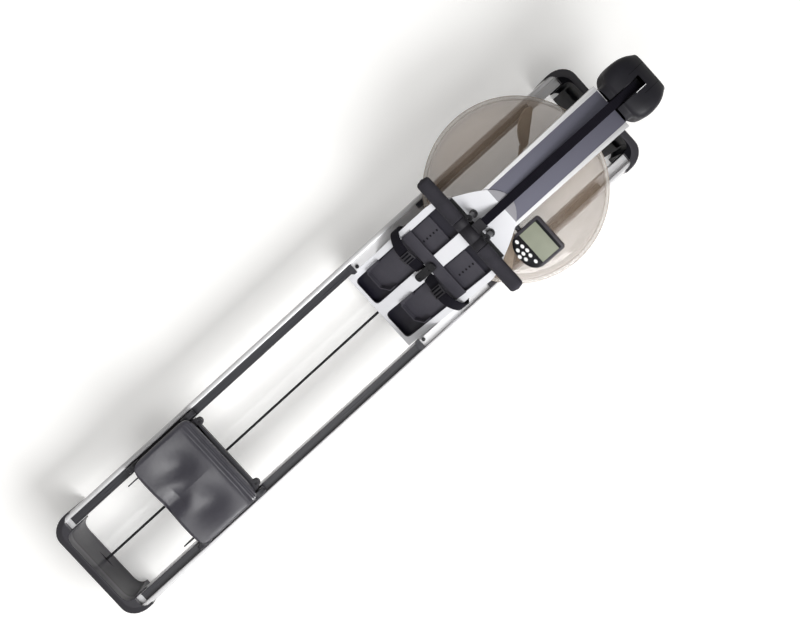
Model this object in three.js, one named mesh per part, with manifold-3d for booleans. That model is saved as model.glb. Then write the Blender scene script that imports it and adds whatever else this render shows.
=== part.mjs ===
// Water rowing machine: rails, sliding seat, footboard, handle, water tank, arm and monitor.
// Lengths are in millimetres. +X runs to the tank end, +Y to the rower's left, +Z up from the floor.
import * as THREE from 'three';
import { mergeVertices } from 'three/addons/utils/BufferGeometryUtils.js';
import Module from 'manifold-3d';

const wasm = await Module();
wasm.setup();

// Fits shared by all pieces
const gap = 0.3;
const over = 5;
const weldGap = 0.0004;
const fine = 40;
const coarse = 20;
const halfTurn = Math.PI;
const quarterTurn = Math.PI / 2;

// Water tank across the floor, and the machine's length round it
const tankRear = 342;
const tankWallRadius = 258;
const tankFlangeReach = 10;
const tankRim = tankWallRadius + tankFlangeReach;
const tankX = tankRear + tankWallRadius;
const tankLead = 46.7;
const capLap = 47.3;
const rearCapFace = -1062;
const railRear = rearCapFace + capLap;
const railFront = tankX + tankRim + tankLead;
const frontCapFace = railFront + capLap;

// Rails
const railInner = 137.5;
const railOuter = 178.5;
const railBase = 132;
const railLedge = 212;
const railTop = 228;
const railRidge = 15;
const railWall = 3;
const railRound = 5;
const railWeb = 172;

// Seat tracks on the rails
const trackRear = -997;
const trackFront = 107;
const trackInset = 1.2;
const trackWidth = 24.5;
const trackFloor = 3;
const trackLip = 2;
const trackLipWidth = 2.4;
const stopLength = 18;
const stopReach = 7;
const stopHeight = 12;

// End caps
const capHalfWidth = 182.5;
const capStraight = 131;
const capArc = 62;
const capTip = 78;
const capLeg = 47;
const capLegInner = 133.4;
const capCrescent = 160;
const capRim = 21;
const capRimStraight = 98;
const capTopAbove = 5;
const capWall = 4;
const capRibGauge = 2.6;
const capRibFoot = 22;
const capRibShares = [-0.86, -0.46, 0.46, 0.86];
const spigotLength = 26;
const tabLength = 40;
const tabHeight = 16;
const tabGauge = 3;
const padHeight = 6;
const padInset = 3;
const anchorSlotHalf = 33;
const anchorSlotHeight = 11;
const frontScoopReach = 30;
const frontScoopHalf = 120;

// Cord that returns the handle
const cordRadius = 4;
const cordAnchorHalf = 15;
const cordAnchorRadius = 9;
const cordSides = 8;

// Footboard
const boardRear = 75;
const boardRearHeight = 104;
const boardKnee = 365;
const deckRun = 153;
const deckRise = 78;
const boardBend = boardKnee + deckRun;
const boardTongue = 34;
const boardSlope = quarterTurn / 2;
const deckSlope = Math.atan2(deckRise, deckRun);
const boardGauge = 3;
const boardHalf = 136.8;
const boardStraight = 358;
const boardNeck = 437;
const boardNeckHalf = 108;
const boardBendHalf = 60;
const beadRadius = 10;
const skirtDepth = 34;
const skirtFront = 250;
const boardBoltLead = 10;
const boardBoltX = trackFront + boardBoltLead;
const boardBoltHead = 6.4;
const boardBoltHeadHeight = 5;
const boardBoltShank = 3;
const boardBoltReach = 26;
const boardBoltInset = 6.6;
const guideLength = 8;
const guideHalf = 10;
const guideDrop = 37;
const guideEyeDrop = 5.6;

// Foot trays in the footboard, given at their rear and front ends
const trayRear = 83;
const trayFront = 424;
const trayInnerRear = 18.5;
const trayOuterRear = 117;
const trayInnerFront = 22;
const trayOuterFront = 116;
const trayDepth = 12;
const trayGauge = 2.5;
const trayRound = 16;

// Foot plates that slide in the trays
const plateFrontInset = 1.1;
const plateHalf = 44;
const plateGauge = 4;
const plateCentre = 68.8;
const plateRearLeft = 76;
const plateRearRight = 91;
const plateLength = (boardKnee - boardRear) / Math.cos(boardSlope) - plateRearRight - plateFrontInset;
const plateChamfer = 26;
const heelHeight = 20;
const heelGauge = 3;
const heelSide = 68;
const heelWing = 5;
const pinHoleRadius = 2.2;
const pinHolePitch = 16;
const pinHoleCount = 5;
const pinHoleFromTop = 12;

// Bar, clip and straps that hold the feet
const barFrom = 271;
const barWidth = 45;
const barHalf = 118;
const barGauge = 4;
const clipFrom = 214;
const clipLength = 88;
const clipHalf = 12.3;
const clipHeight = 13;
const clipScrewRadius = 5;
const clipScrewDepth = 2;
const clipScrewShares = [0.18, 0.72];
const footStrapWidth = 40;
const footStrapGauge = 2.4;
const footStrapFrom = 225;
const footStrapInner = 14.4;
const footStrapRise = 24;
const footStrapSlant = 24;
const footStrapFullShare = 0.8;
const footStrapLeanShare = 1.5;
const footStrapSideShares = [0.25, 0.6, 1, 1.4];
const footStrapOuter = 147;
const footStrapTail = 22;
const buckleHalf = 17;
const buckleLength = 46;
const buckleGauge = 3;
const buckleSlot = 5;
const buckleAcross = 64;

// Handle and what it rests on
const stripHeight = 6;
const stripFrom = 44;
const stripTo = 81;
const stripHalf = 107;
const handleAlong = 57;
const handleHalfLength = 197;
const gripInner = 49.5;
const gripMajor = 22;
const gripMinor = 18;
const gripRound = 12;
const coreRadius = 11;
const coreNub = 5;
const coreNubLength = 4;
const hubMajor = 20.5;
const hubMinor = 16.5;
const clipEndLength = 34;
const clipEndHalf = 13.5;
const clipEndGauge = 6;
const postAlong = 97;
const postAcross = 35.5;
const postRadius = 8.5;
const postFoot = 12;
const postFootHeight = 9;
const postHead = 10.5;
const postHeadHeight = 8;
const postLength = 50;
const postSocket = 4.2;
const postSocketDepth = 3;

// Strap from the handle to the spool
const strapHalf = 12.5;
const strapGauge = 2.4;
const twistBack = 43;
const twistReach = 120;
const spoolWrap = 3.6;
const cordWrap = 3.4;

// Arm over the tank
const armLap = 38;
const armShort = 39;
const armRear = boardBend - armLap;
const armFront = frontCapFace - armShort;
const armDepth = 78;
const armRearHalf = 67;
const armFrontHalf = 73;
const armWall = 3;
const panelHalf = 58;
const panelGauge = 3;
const panelLedge = 4;
const armCordHole = 6;

// Pulley housing at the end of the arm
const housingLength = 138.7;
const housingHalf = 86;
const housingPlanShares = [
  [0, 0.66], [0.12, 0.7], [0.19, 0.885], [0.29, 0.96], [0.42, 1],
  [0.56, 0.995], [0.7, 0.95], [0.85, 0.85], [1, 0.715],
];
const housingRise = 53.3;
const housingCollar = 16;
const housingCollarDrop = 20;
const housingRearDrop = 22;
const housingFrontDrop = 32;
const housingFrontLift = 21.3;
const housingWall = 4;
const slotHalf = 16;
const slotLength = 96;
const pulleyAlong = 66;
const pulleyRadius = 30;
const pulleyFlange = 3;
const pulleyFlangeGauge = 2.5;
const pulleyAxle = 6;
const uprightLead = 11;
const uprightDepth = 24;
const uprightRear = armFront + uprightLead;
const uprightFront = uprightRear + uprightDepth;
const uprightHalf = 46;
const uprightWall = 3;

// Water tank
const tankFloorRadius = 206;
const tankSkin = 3;
const tankSides = 44;
const tankFlange = 4;
const cradleHeight = 20;
const cradleBehind = 236;
const cradleAhead = 200;
const cradleWidth = 16;
const cradleBlock = 15;
const cradleBlockRise = 7;
const tankSeam = 302;
const tankShoulder = 206;
const tankShoulderTop = 350;
const tankDomeTop = 359;
const bossRadius = 36;
const shaftRadius = 8;
const shaftPlay = 0.4;
const socketWall = 8;
const socketRise = 10;
const paddleHubRadius = 20;
const paddleTip = 244;
const bladeRoot = 122;
const bladeHeight = 52;
const bladeGauge = 4;
const bladeLean = 0.72;
const bladeMid = 292;
const bladeShares = [
  [0, -0.3], [0.12, -0.5], [0.96, -0.5], [1, -0.3], [0.92, 0.06],
  [0.76, 0.34], [0.56, 0.5], [0.34, 0.46], [0.14, 0.24], [0, -0.04],
];
const armBarHalf = 6;
const armBarGauge = 7;
const paddleTurn = 0.862;

// Spool on the shaft
const spoolCore = 22;
const spoolFlange = 34;
const spoolPlate = 2.5;
const nutRadius = 13;
const nutHeight = 7;

// Seat and its carriage
const seatX = -643.5;
const seatHalfLength = 111.5;
const seatHalfWidth = 155;
const seatThick = 36;
const seatDish = 10;
const seatChannel = 9;
const seatLip = 6;
const seatNotch = 2;
const seatDraw = 9;
const rollerRadius = 24;
const rollerWidth = 17;
const rollerTread = 2;
const rollerFrontInset = 17;
const rollerRearInset = 51;
const axleRadius = 5;
const axlePlay = 0.3;
const axleShoulder = 9;
const axleHead = 8;
const axleHeadGauge = 2.5;
const sideAcross = 117;
const sideGauge = 4;
const sideRear = -803;
const sideFront = -523;
const rollerFront = sideFront - rollerFrontInset;
const rollerRear = sideRear + rollerRearInset;
const sideBase = 222;
const sideTop = 262;
const frontBarDepth = 20;
const frontBarHalf = 136;
const frontBarHeight = 24;
const frontBarGroove = 4;
const barGrooveShares = [0.38, 0.62];
const deckPlateGauge = 4;
const deckPlateRear = -735;
const deckPlateInset = 33;
const deckPlateFront = sideFront - deckPlateInset;
const rearBarDepth = 12;
const rearBarHeight = 18;
const barBossRadius = 10;
const barBossAcross = 121;
const barBossLead = 1.5;
const barBossFoot = 12;
const barBossSocket = 4.5;
const barBossSocketDepth = 4;

// Monitor
const monitorAlong = 37;
const monitorX = armRear + monitorAlong;
const monitorY = -141.3;
const monitorZ = 462;
const monitorTilt = 0.21;
const caseHalfLength = 59;
const caseHalfWidth = 58.2;
const caseHeight = 24;
const caseCorner = 9;
const caseBevel = 2;
const caseNoseShares = [0.72, 0.62];
const lensRear = -16;
const lensFront = 42;
const lensHalf = 49;
const lensGauge = 1.6;
const buttonLong = 6.4;
const buttonShort = 4.6;
const buttonDepth = 5;
const buttonProud = 1.4;
const buttonTravel = 1;
const buttonRearShares = [-0.55, -0.78, -0.5, -0.915, -0.69, -0.455, -0.78, -0.5, -0.5];
const buttonSideShares = [0.68, 0.36, 0.36, 0.07, 0.07, 0.07, -0.21, -0.21, -0.585];
const bracketHalf = 11;
const bracketPlate = 4;
const pinRadius = 3;
const pinReach = 8;
const knuckleRadius = 7.5;
const knuckleLength = 4;
const knuckleX = -7;
const knuckleDrop = 12;

// Helpers

// Shared vertices are merged and empty triangles dropped, so that the mesh is closed.
function weld(geometry) {
  const bare = geometry.clone();
  bare.deleteAttribute('normal');
  bare.deleteAttribute('uv');
  const merged = mergeVertices(bare, weldGap);
  const index = merged.index.array;
  const kept = [];
  for (let i = 0; i < index.length; i += 3) {
    const [a, b, c] = [index[i], index[i + 1], index[i + 2]];
    if (a !== b && b !== c && a !== c) {
      kept.push(a, b, c);
    }
  }
  merged.setIndex(kept);
  return merged;
}

function solidOf(geometry) {
  const merged = weld(geometry);
  return new wasm.Manifold(new wasm.Mesh({
    numProp: 3,
    vertProperties: Float32Array.from(merged.attributes.position.array),
    triVerts: Uint32Array.from(merged.index.array),
  }));
}

function geometryOf(solid) {
  const mesh = solid.getMesh();
  const geometry = new THREE.BufferGeometry();
  geometry.setAttribute('position', new THREE.BufferAttribute(Float32Array.from(mesh.vertProperties), 3));
  geometry.setIndex(Array.from(mesh.triVerts));
  return geometry;
}

function join(...geometries) {
  let solid = solidOf(geometries[0]);
  for (const other of geometries.slice(1)) {
    solid = solid.add(solidOf(other));
  }
  return geometryOf(solid);
}

function cut(base, ...tools) {
  let solid = solidOf(base);
  for (const tool of tools) {
    solid = solid.subtract(solidOf(tool));
  }
  return geometryOf(solid);
}

function common(a, b) {
  return geometryOf(solidOf(a).intersect(solidOf(b)));
}

function block(x0, x1, y0, y1, z0, z1) {
  const geometry = new THREE.BoxGeometry(x1 - x0, y1 - y0, z1 - z0);
  geometry.translate((x0 + x1) / 2, (y0 + y1) / 2, (z0 + z1) / 2);
  return geometry;
}

// Each corner of an outline is [across, up] or [across, up, rounding].
function outline(corners) {
  const shape = new THREE.Shape();
  const count = corners.length;
  corners.forEach(([x, y, round = 0], i) => {
    const [px, py] = corners[(i + count - 1) % count];
    const [nx, ny] = corners[(i + 1) % count];
    const back = Math.hypot(px - x, py - y);
    const ahead = Math.hypot(nx - x, ny - y);
    const ax = x + (px - x) * round / back;
    const ay = y + (py - y) * round / back;
    const bx = x + (nx - x) * round / ahead;
    const by = y + (ny - y) * round / ahead;
    if (i === 0) {
      shape.moveTo(ax, ay);
    } else {
      shape.lineTo(ax, ay);
    }
    if (round > 0) {
      shape.quadraticCurveTo(x, y, bx, by);
    }
  });
  shape.closePath();
  return shape;
}

function extrude(shape, depth, steps) {
  return new THREE.ExtrudeGeometry(shape, { depth, bevelEnabled: false, curveSegments: steps });
}

function prismX(shape, x0, x1, steps = 6) {
  const geometry = extrude(shape, x1 - x0, steps);
  const turn = new THREE.Matrix4().makeBasis(
    new THREE.Vector3(0, 1, 0), new THREE.Vector3(0, 0, 1), new THREE.Vector3(1, 0, 0));
  geometry.applyMatrix4(turn);
  geometry.translate(x0, 0, 0);
  return geometry;
}

function prismY(shape, y0, y1, steps = 6) {
  const geometry = extrude(shape, y1 - y0, steps);
  const turn = new THREE.Matrix4().makeBasis(
    new THREE.Vector3(1, 0, 0), new THREE.Vector3(0, 0, 1), new THREE.Vector3(0, -1, 0));
  geometry.applyMatrix4(turn);
  geometry.translate(0, y1, 0);
  return geometry;
}

function prismZ(shape, z0, z1, steps = 6) {
  const geometry = extrude(shape, z1 - z0, steps);
  geometry.translate(0, 0, z0);
  return geometry;
}

function rodZ(radius, x, y, z0, z1, sides = fine) {
  const geometry = new THREE.CylinderGeometry(radius, radius, z1 - z0, sides);
  geometry.rotateX(quarterTurn);
  geometry.translate(x, y, (z0 + z1) / 2);
  return geometry;
}

function rodY(radius, x, z, y0, y1, sides = fine) {
  const geometry = new THREE.CylinderGeometry(radius, radius, y1 - y0, sides);
  geometry.translate(x, (y0 + y1) / 2, z);
  return geometry;
}

function rodX(radius, y, z, x0, x1, sides = fine) {
  const geometry = new THREE.CylinderGeometry(radius, radius, x1 - x0, sides);
  geometry.rotateZ(quarterTurn);
  geometry.translate((x0 + x1) / 2, y, z);
  return geometry;
}

// Turned pieces: each point is [radius, height]. The lathe's own axis is Y; it is stood up to Z.
function turned(points, sides = fine) {
  const geometry = new THREE.LatheGeometry(points.map(([r, z]) => new THREE.Vector2(r, z)), sides);
  geometry.rotateX(quarterTurn);
  return geometry;
}

function mirrored(geometry) {
  const copy = weld(geometry);
  copy.scale(1, -1, 1);
  const index = copy.index.array;
  for (let i = 0; i < index.length; i += 3) {
    const keep = index[i];
    index[i] = index[i + 1];
    index[i + 1] = keep;
  }
  return copy;
}

// A flat band laid along points, each with the direction that its width lies in.
function ribbon(stations, halfWidth, gauge) {
  const positions = [];
  const index = [];
  const count = stations.length;
  stations.forEach(({ at, wide }, i) => {
    const before = stations[Math.max(i - 1, 0)].at;
    const after = stations[Math.min(i + 1, count - 1)].at;
    const ahead = after.clone().sub(before).normalize();
    const out = ahead.clone().cross(wide).normalize();
    const flat = out.clone().cross(ahead).normalize();
    for (const [w, h] of [[-1, -1], [1, -1], [1, 1], [-1, 1]]) {
      const corner = at.clone().addScaledVector(flat, w * halfWidth).addScaledVector(out, h * gauge / 2);
      positions.push(corner.x, corner.y, corner.z);
    }
  });
  for (let i = 0; i < count - 1; i += 1) {
    for (let k = 0; k < 4; k += 1) {
      const a = i * 4 + k;
      const b = i * 4 + (k + 1) % 4;
      index.push(a, b + 4, b, a, a + 4, b + 4);
    }
  }
  const last = (count - 1) * 4;
  index.push(0, 1, 2, 0, 2, 3, last, last + 2, last + 1, last, last + 3, last + 2);
  const geometry = new THREE.BufferGeometry();
  geometry.setAttribute('position', new THREE.Float32BufferAttribute(positions, 3));
  geometry.setIndex(index);
  return outward(geometry);
}

// Turns every face over if the shape would otherwise enclose a negative volume.
function outward(geometry) {
  const p = geometry.attributes.position;
  const index = geometry.index.array;
  const [a, b, c] = [new THREE.Vector3(), new THREE.Vector3(), new THREE.Vector3()];
  let volume = 0;
  for (let i = 0; i < index.length; i += 3) {
    a.fromBufferAttribute(p, index[i]);
    b.fromBufferAttribute(p, index[i + 1]);
    c.fromBufferAttribute(p, index[i + 2]);
    volume += a.dot(b.cross(c));
  }
  if (volume < 0) {
    for (let i = 0; i < index.length; i += 3) {
      const keep = index[i];
      index[i] = index[i + 1];
      index[i + 1] = keep;
    }
  }
  return geometry;
}

// A path given point by point, so that a swept tube has its steps only where the route bends.
class StationPath extends THREE.Curve {
  constructor(points) {
    super();
    this.points = points;
  }

  getPointAt(u) {
    const place = u * (this.points.length - 1);
    const i = Math.min(Math.floor(place), this.points.length - 2);
    return this.points[i].clone().lerp(this.points[i + 1], place - i);
  }

  getPoint(u) {
    return this.getPointAt(u);
  }

  getSpacedPoints() {
    return this.points.map((point) => point.clone());
  }

  getTangentAt(u) {
    const i = Math.round(u * (this.points.length - 1));
    const before = this.points[Math.max(i - 1, 0)];
    const after = this.points[Math.min(i + 1, this.points.length - 1)];
    const back = this.points[i].clone().sub(before).normalize();
    const ahead = after.clone().sub(this.points[i]).normalize();
    return back.add(ahead).normalize();
  }
}

const materials = {
  aluminium: { color: 0xc9cace, roughness: 0.42, metalness: 0.85 },
  blackPlastic: { color: 0x2b2b30, roughness: 0.55, metalness: 0 },
  trackPlastic: { color: 0x3a3a40, roughness: 0.6, metalness: 0 },
  rubber: { color: 0x1f1f22, roughness: 0.9, metalness: 0 },
  whitePaint: { color: 0xe6e4ec, roughness: 0.4, metalness: 0.1 },
  footPlate: { color: 0x48474f, roughness: 0.7, metalness: 0 },
  webbing: { color: 0x2f2e35, roughness: 0.95, metalness: 0 },
  panel: { color: 0x7d7d8c, roughness: 0.35, metalness: 0.6 },
  smoke: { color: 0xb3a796, roughness: 0.08, metalness: 0 },
  paddle: { color: 0xb39f88, roughness: 0.45, metalness: 0.1 },
  steel: { color: 0xa9a9ad, roughness: 0.35, metalness: 0.9 },
  seatSkin: { color: 0x45434f, roughness: 0.3, metalness: 0 },
  foam: { color: 0x2f2e33, roughness: 0.85, metalness: 0 },
  screen: { color: 0x9fae8c, roughness: 0.25, metalness: 0 },
  whitePlastic: { color: 0xeeeef0, roughness: 0.5, metalness: 0 },
};

const machine = new THREE.Group();

function add(name, geometry, look, parent = machine) {
  const mesh = new THREE.Mesh(weld(geometry), new THREE.MeshStandardMaterial(materials[look]));
  mesh.name = name;
  parent.add(mesh);
  return mesh;
}

// Footboard frame

const slopeNormal = [-Math.sin(boardSlope), Math.cos(boardSlope)];
const deckNormal = [-Math.sin(deckSlope), Math.cos(deckSlope)];
const kneeHeight = boardRearHeight + (boardKnee - boardRear) * Math.tan(boardSlope);
const bendHeight = kneeHeight + (boardBend - boardKnee) * Math.tan(deckSlope);
const armTop = bendHeight - boardGauge - gap;
const armBase = armTop - armDepth;
const housingTop = armTop + housingRise;
const boardPath = [
  [boardRear, boardRearHeight],
  [boardKnee, kneeHeight],
  [boardBend, bendHeight],
  [boardBend + boardTongue, bendHeight],
];

// A place on the lower slope: along it from its rear edge, and out from its face.
function slopePlace(along, out) {
  return [
    boardRear + along * Math.cos(boardSlope) + out * slopeNormal[0],
    boardRearHeight + along * Math.sin(boardSlope) + out * slopeNormal[1],
  ];
}

// A place on the upper deck: along it from the knee, and out from its face.
function deckPlace(along, out) {
  return [
    boardKnee + along * Math.cos(deckSlope) + out * deckNormal[0],
    kneeHeight + along * Math.sin(deckSlope) + out * deckNormal[1],
  ];
}

function offsetPath(path, out) {
  return path.map(([x, z], i) => {
    const dirs = [];
    if (i > 0) {
      dirs.push([x - path[i - 1][0], z - path[i - 1][1]]);
    }
    if (i < path.length - 1) {
      dirs.push([path[i + 1][0] - x, path[i + 1][1] - z]);
    }
    const normals = dirs.map(([dx, dz]) => [-dz / Math.hypot(dx, dz), dx / Math.hypot(dx, dz)]);
    const sum = normals.reduce((s, n) => [s[0] + n[0], s[1] + n[1]], [0, 0]);
    const size = Math.hypot(sum[0], sum[1]);
    const unit = [sum[0] / size, sum[1] / size];
    const miter = out / (unit[0] * normals[0][0] + unit[1] * normals[0][1]);
    return [x + unit[0] * miter, z + unit[1] * miter];
  });
}

// The layer between two distances from the board's face, all across the machine.
function boardBand(top, bottom, half, path = boardPath) {
  const upper = offsetPath(path, top);
  const lower = offsetPath(path, bottom).reverse();
  return prismY(outline([...upper, ...lower]), -half, half);
}

// The slope's band in its own place, cut straight across the slope.
function slopeBlock(along0, along1, y0, y1, out0, out1) {
  return prismY(outline([
    slopePlace(along0, out0), slopePlace(along1, out0), slopePlace(along1, out1), slopePlace(along0, out1),
  ]), y0, y1);
}

function deckBlock(along0, along1, y0, y1, out0, out1, round = 0) {
  const corners = [
    deckPlace(along0, out0), deckPlace(along1, out0), deckPlace(along1, out1), deckPlace(along0, out1),
  ];
  return prismY(outline(corners.map(([x, z], i) => [x, z, i > 1 ? round : 0])), y0, y1);
}

// Rails

function railOutline(grow = 0) {
  return outline([
    [railInner - grow, railBase - grow],
    [railOuter + grow, railBase - grow, railRound],
    [railOuter + grow, railTop + grow, railRound],
    [railOuter - railRidge - grow, railTop + grow, grow > 0 ? 0 : railRound / 2],
    [railOuter - railRidge - grow, railLedge + grow],
    [railInner - grow, railLedge + grow],
  ]);
}

function leftRail() {
  const profile = railOutline();
  profile.holes.push(outline([
    [railInner + railWall, railBase + railWall],
    [railOuter - railWall, railBase + railWall, railRound / 2],
    [railOuter - railWall, railWeb - railWall / 2],
    [railInner + railWall, railWeb - railWall / 2],
  ]));
  profile.holes.push(outline([
    [railInner + railWall, railWeb + railWall / 2],
    [railOuter - railWall, railWeb + railWall / 2],
    [railOuter - railWall, railTop - railWall, railRound / 2],
    [railOuter - railRidge + railWall, railTop - railWall],
    [railOuter - railRidge + railWall, railLedge - railWall],
    [railInner + railWall, railLedge - railWall],
  ]));
  const body = prismX(profile, railRear, railFront, 4);
  const bore = rodZ(boardBoltShank + gap, boardBoltX, railInner + boardBoltInset,
    railLedge - railWall - over, railLedge + over, coarse);
  return cut(body, bore);
}

// Seat tracks: shallow channels with an end stop that steps inwards

const trackInner = railInner + trackInset;
const trackOuter = trackInner + trackWidth;
const trackBase = railLedge + gap;
const trackTop = trackBase + trackFloor;

function leftTrack() {
  const channel = prismX(outline([
    [trackInner, trackBase],
    [trackOuter, trackBase],
    [trackOuter, trackTop + trackLip],
    [trackOuter - trackLipWidth, trackTop + trackLip],
    [trackOuter - trackLipWidth, trackTop],
    [trackInner + trackLipWidth, trackTop],
    [trackInner + trackLipWidth, trackTop + trackLip],
    [trackInner, trackTop + trackLip],
  ]), trackRear, trackFront);
  const stop = prismZ(outline([
    [trackFront - stopLength, trackOuter],
    [trackFront - stopLength, trackInner],
    [trackFront - stopLength + stopReach, trackInner - stopReach],
    [trackFront, trackInner - stopReach],
    [trackFront, trackOuter],
  ]), trackBase, trackBase + stopHeight);
  return join(channel, stop);
}

// End caps: hollow mouldings, open below, that plug into the rails and stand on pads

const capTop = railTop + capTopAbove;
const capBase = padHeight + gap;

// Cap outline in plan. Distances run inwards from the cap's outer face.
function capOutline(face, inward, inset, rim) {
  const shape = new THREE.Shape();
  const px = (u) => face + inward * u;
  const arcPoint = (t, side) => [
    px(capArc - (capArc - inset) * Math.cos(t)),
    side * (capStraight + (capHalfWidth - capStraight - inset) * Math.sin(t)),
  ];
  const points = [];
  const steps = 8;
  const reach = inset === 0 ? 1 : Math.acos((capArc - capLeg + inset) / (capArc - inset)) / quarterTurn;
  for (let i = 0; i <= steps; i += 1) {
    points.push(arcPoint(quarterTurn * reach * i / steps, 1));
  }
  if (inset === 0) {
    points.push([px(capTip), capHalfWidth]);
    points.push([px(capTip), railOuter + gap]);
    const lip = new THREE.QuadraticBezierCurve(
      new THREE.Vector2(px(capTip), railOuter + gap),
      new THREE.Vector2(px(capLeg + (capTip - capLeg) / 4), railOuter + gap),
      new THREE.Vector2(px(capLeg), capCrescent));
    lip.getPoints(6).slice(1).forEach((p) => points.push([p.x, p.y]));
  }
  points.push([px(capLeg - inset), capLegInner + inset]);
  const bay = new THREE.QuadraticBezierCurve(
    new THREE.Vector2(px(capLeg - inset), capLegInner + inset),
    new THREE.Vector2(px(rim - inset), capLegInner + inset),
    new THREE.Vector2(px(rim - inset), capRimStraight));
  bay.getPoints(6).slice(1).forEach((p) => points.push([p.x, p.y]));
  const all = [...points, ...points.slice().reverse().map(([x, y]) => [x, -y])];
  all.forEach(([x, y], i) => {
    if (i === 0) {
      shape.moveTo(x, y);
    } else {
      shape.lineTo(x, y);
    }
  });
  shape.closePath();
  return shape;
}

function endCap(face, inward, rim) {
  const px = (u) => face + inward * u;
  const span = (u0, u1) => [Math.min(px(u0), px(u1)), Math.max(px(u0), px(u1))];
  let body = prismZ(capOutline(face, inward, 0, rim), capBase, capTop);
  const hollow = prismZ(capOutline(face, inward, capWall, rim), capBase - over, capTop - capWall);
  body = cut(body, hollow);
  const ribs = capRibShares.map((share) => {
    const [x0, x1] = span(capWall / 2, rim - capWall / 2);
    const y = share * capRimStraight;
    return block(x0, x1, y - capRibGauge / 2, y + capRibGauge / 2, capRibFoot, capTop - capWall / 2);
  });
  const within = prismZ(capOutline(face, inward, capWall / 2, rim), capBase, capTop);
  const sideRibs = [1, -1].map((side) => {
    const [x0, x1] = span(capWall / 2, capLeg - capWall / 2);
    const y = side * (capLegInner + capHalfWidth) / 2;
    return common(within,
      block(x0, x1, y - capRibGauge / 2, y + capRibGauge / 2, capRibFoot, capTop - capWall / 2));
  });
  body = join(body, ...ribs, ...sideRibs);
  const [railFrom, railTo] = span(capLeg - gap, capTip + over);
  for (const side of [1, -1]) {
    const slot = prismX(railOutline(gap), railFrom, railTo);
    body = cut(body, side > 0 ? slot : mirrored(slot));
    const [plugFrom, plugTo] = span(capLeg - capWall, capLeg + spigotLength);
    const lowGap = railWall + gap;
    const plug = block(plugFrom, plugTo,
      railInner + lowGap, railOuter - lowGap - railRound / 2,
      railBase + lowGap, railWeb - railWall / 2 - gap);
    const [tabFrom, tabTo] = span(capLeg - capWall, capLeg + tabLength);
    const tab = block(tabFrom, tabTo,
      capLegInner + gap, capLegInner + gap + tabGauge,
      railLedge - tabHeight, railLedge - gap);
    body = join(body, side > 0 ? plug : mirrored(plug), side > 0 ? tab : mirrored(tab));
  }
  return body;
}

const beadX = slopePlace(0, -beadRadius)[0];
const beadZ = slopePlace(0, -beadRadius)[1];
const cordZ = beadZ - beadRadius - gap - cordRadius;

// The rear cap's inner wall has a lens-shaped slot where the cord goes in.
function rearCap() {
  const body = endCap(rearCapFace, 1, capRim);
  const lens = new THREE.Shape();
  lens.moveTo(-anchorSlotHalf, cordZ);
  lens.quadraticCurveTo(0, cordZ + anchorSlotHeight, anchorSlotHalf, cordZ);
  lens.quadraticCurveTo(0, cordZ - anchorSlotHeight, -anchorSlotHalf, cordZ);
  const slot = prismX(lens, rearCapFace + capWall * 2, rearCapFace + capRim + over);
  return cut(body, slot);
}

// The front cap's inner wall leans in towards the floor and is hollow from below.
function frontCap() {
  const body = endCap(frontCapFace, -1, capRim);
  const inner = frontCapFace - capRim;
  const scoop = (inset) => outline([
    [inner + capWall / 2 - inset, capTop - capWall - inset],
    [inner - frontScoopReach + inset, capBase + capRibFoot / 2 - inset],
    [inner - frontScoopReach + inset, capBase - (inset > 0 ? over : 0)],
    [inner + capWall / 2 - inset, capBase - (inset > 0 ? over : 0)],
  ]);
  const wedge = prismY(scoop(0), -frontScoopHalf, frontScoopHalf);
  const half = frontScoopHalf - capWall;
  const room = prismY(scoop(capWall), -half, half);
  return join(body, cut(wedge, room));
}

function floorPad(face, inward) {
  const near = face + inward * padInset;
  const far = face + inward * (capRim - padInset);
  const half = capStraight - padInset;
  return prismZ(outline([
    [Math.min(near, far), -half, padInset],
    [Math.max(near, far), -half, padInset],
    [Math.max(near, far), half, padInset],
    [Math.min(near, far), half, padInset],
  ]), 0, padHeight, 3);
}

// Cradles that carry the tank on the rail ledges

const cradleTop = railLedge + cradleHeight;
const cradleRear = tankX - cradleBehind;
const cradleFront = tankX + cradleAhead;

function leftCradle() {
  const inner = trackOuter - cradleWidth;
  const beam = block(cradleRear, cradleFront, inner, trackOuter, railLedge + gap, cradleTop);
  const end = block(cradleRear, cradleRear + cradleBlock, inner, trackOuter,
    railLedge + gap, cradleTop + cradleBlockRise);
  return join(beam, end);
}

// Footboard sheet, bent at the knee and where it meets the arm

function boardPlan() {
  const nose = boardBend + boardTongue;
  const shape = new THREE.Shape();
  shape.moveTo(boardRear - over, boardHalf);
  shape.lineTo(boardStraight, boardHalf);
  shape.quadraticCurveTo(boardStraight + (boardNeck - boardStraight) / 2, boardHalf, boardNeck, boardNeckHalf);
  shape.quadraticCurveTo((boardNeck + boardBend) / 2, (boardNeckHalf + boardBendHalf) / 2 + over,
    boardBend, boardBendHalf);
  shape.quadraticCurveTo(nose, boardBendHalf / 2, nose, 0);
  shape.quadraticCurveTo(nose, -boardBendHalf / 2, boardBend, -boardBendHalf);
  shape.quadraticCurveTo((boardNeck + boardBend) / 2, -(boardNeckHalf + boardBendHalf) / 2 - over,
    boardNeck, -boardNeckHalf);
  shape.quadraticCurveTo(boardStraight + (boardNeck - boardStraight) / 2, -boardHalf, boardStraight, -boardHalf);
  shape.lineTo(boardRear - over, -boardHalf);
  shape.closePath();
  return shape;
}

function trayPlan(grow) {
  return outline([
    [trayRear - grow, trayInnerRear - grow, trayRound],
    [trayFront + grow, trayInnerFront - grow, trayRound / 2],
    [trayFront + grow, trayOuterFront + grow, trayRound / 2],
    [trayRear - grow, trayOuterRear + grow, trayRound],
  ]);
}

const high = housingTop;

function guidePlace() {
  return offsetPath(boardPath, cordZ - beadZ - beadRadius)[1];
}

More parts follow.
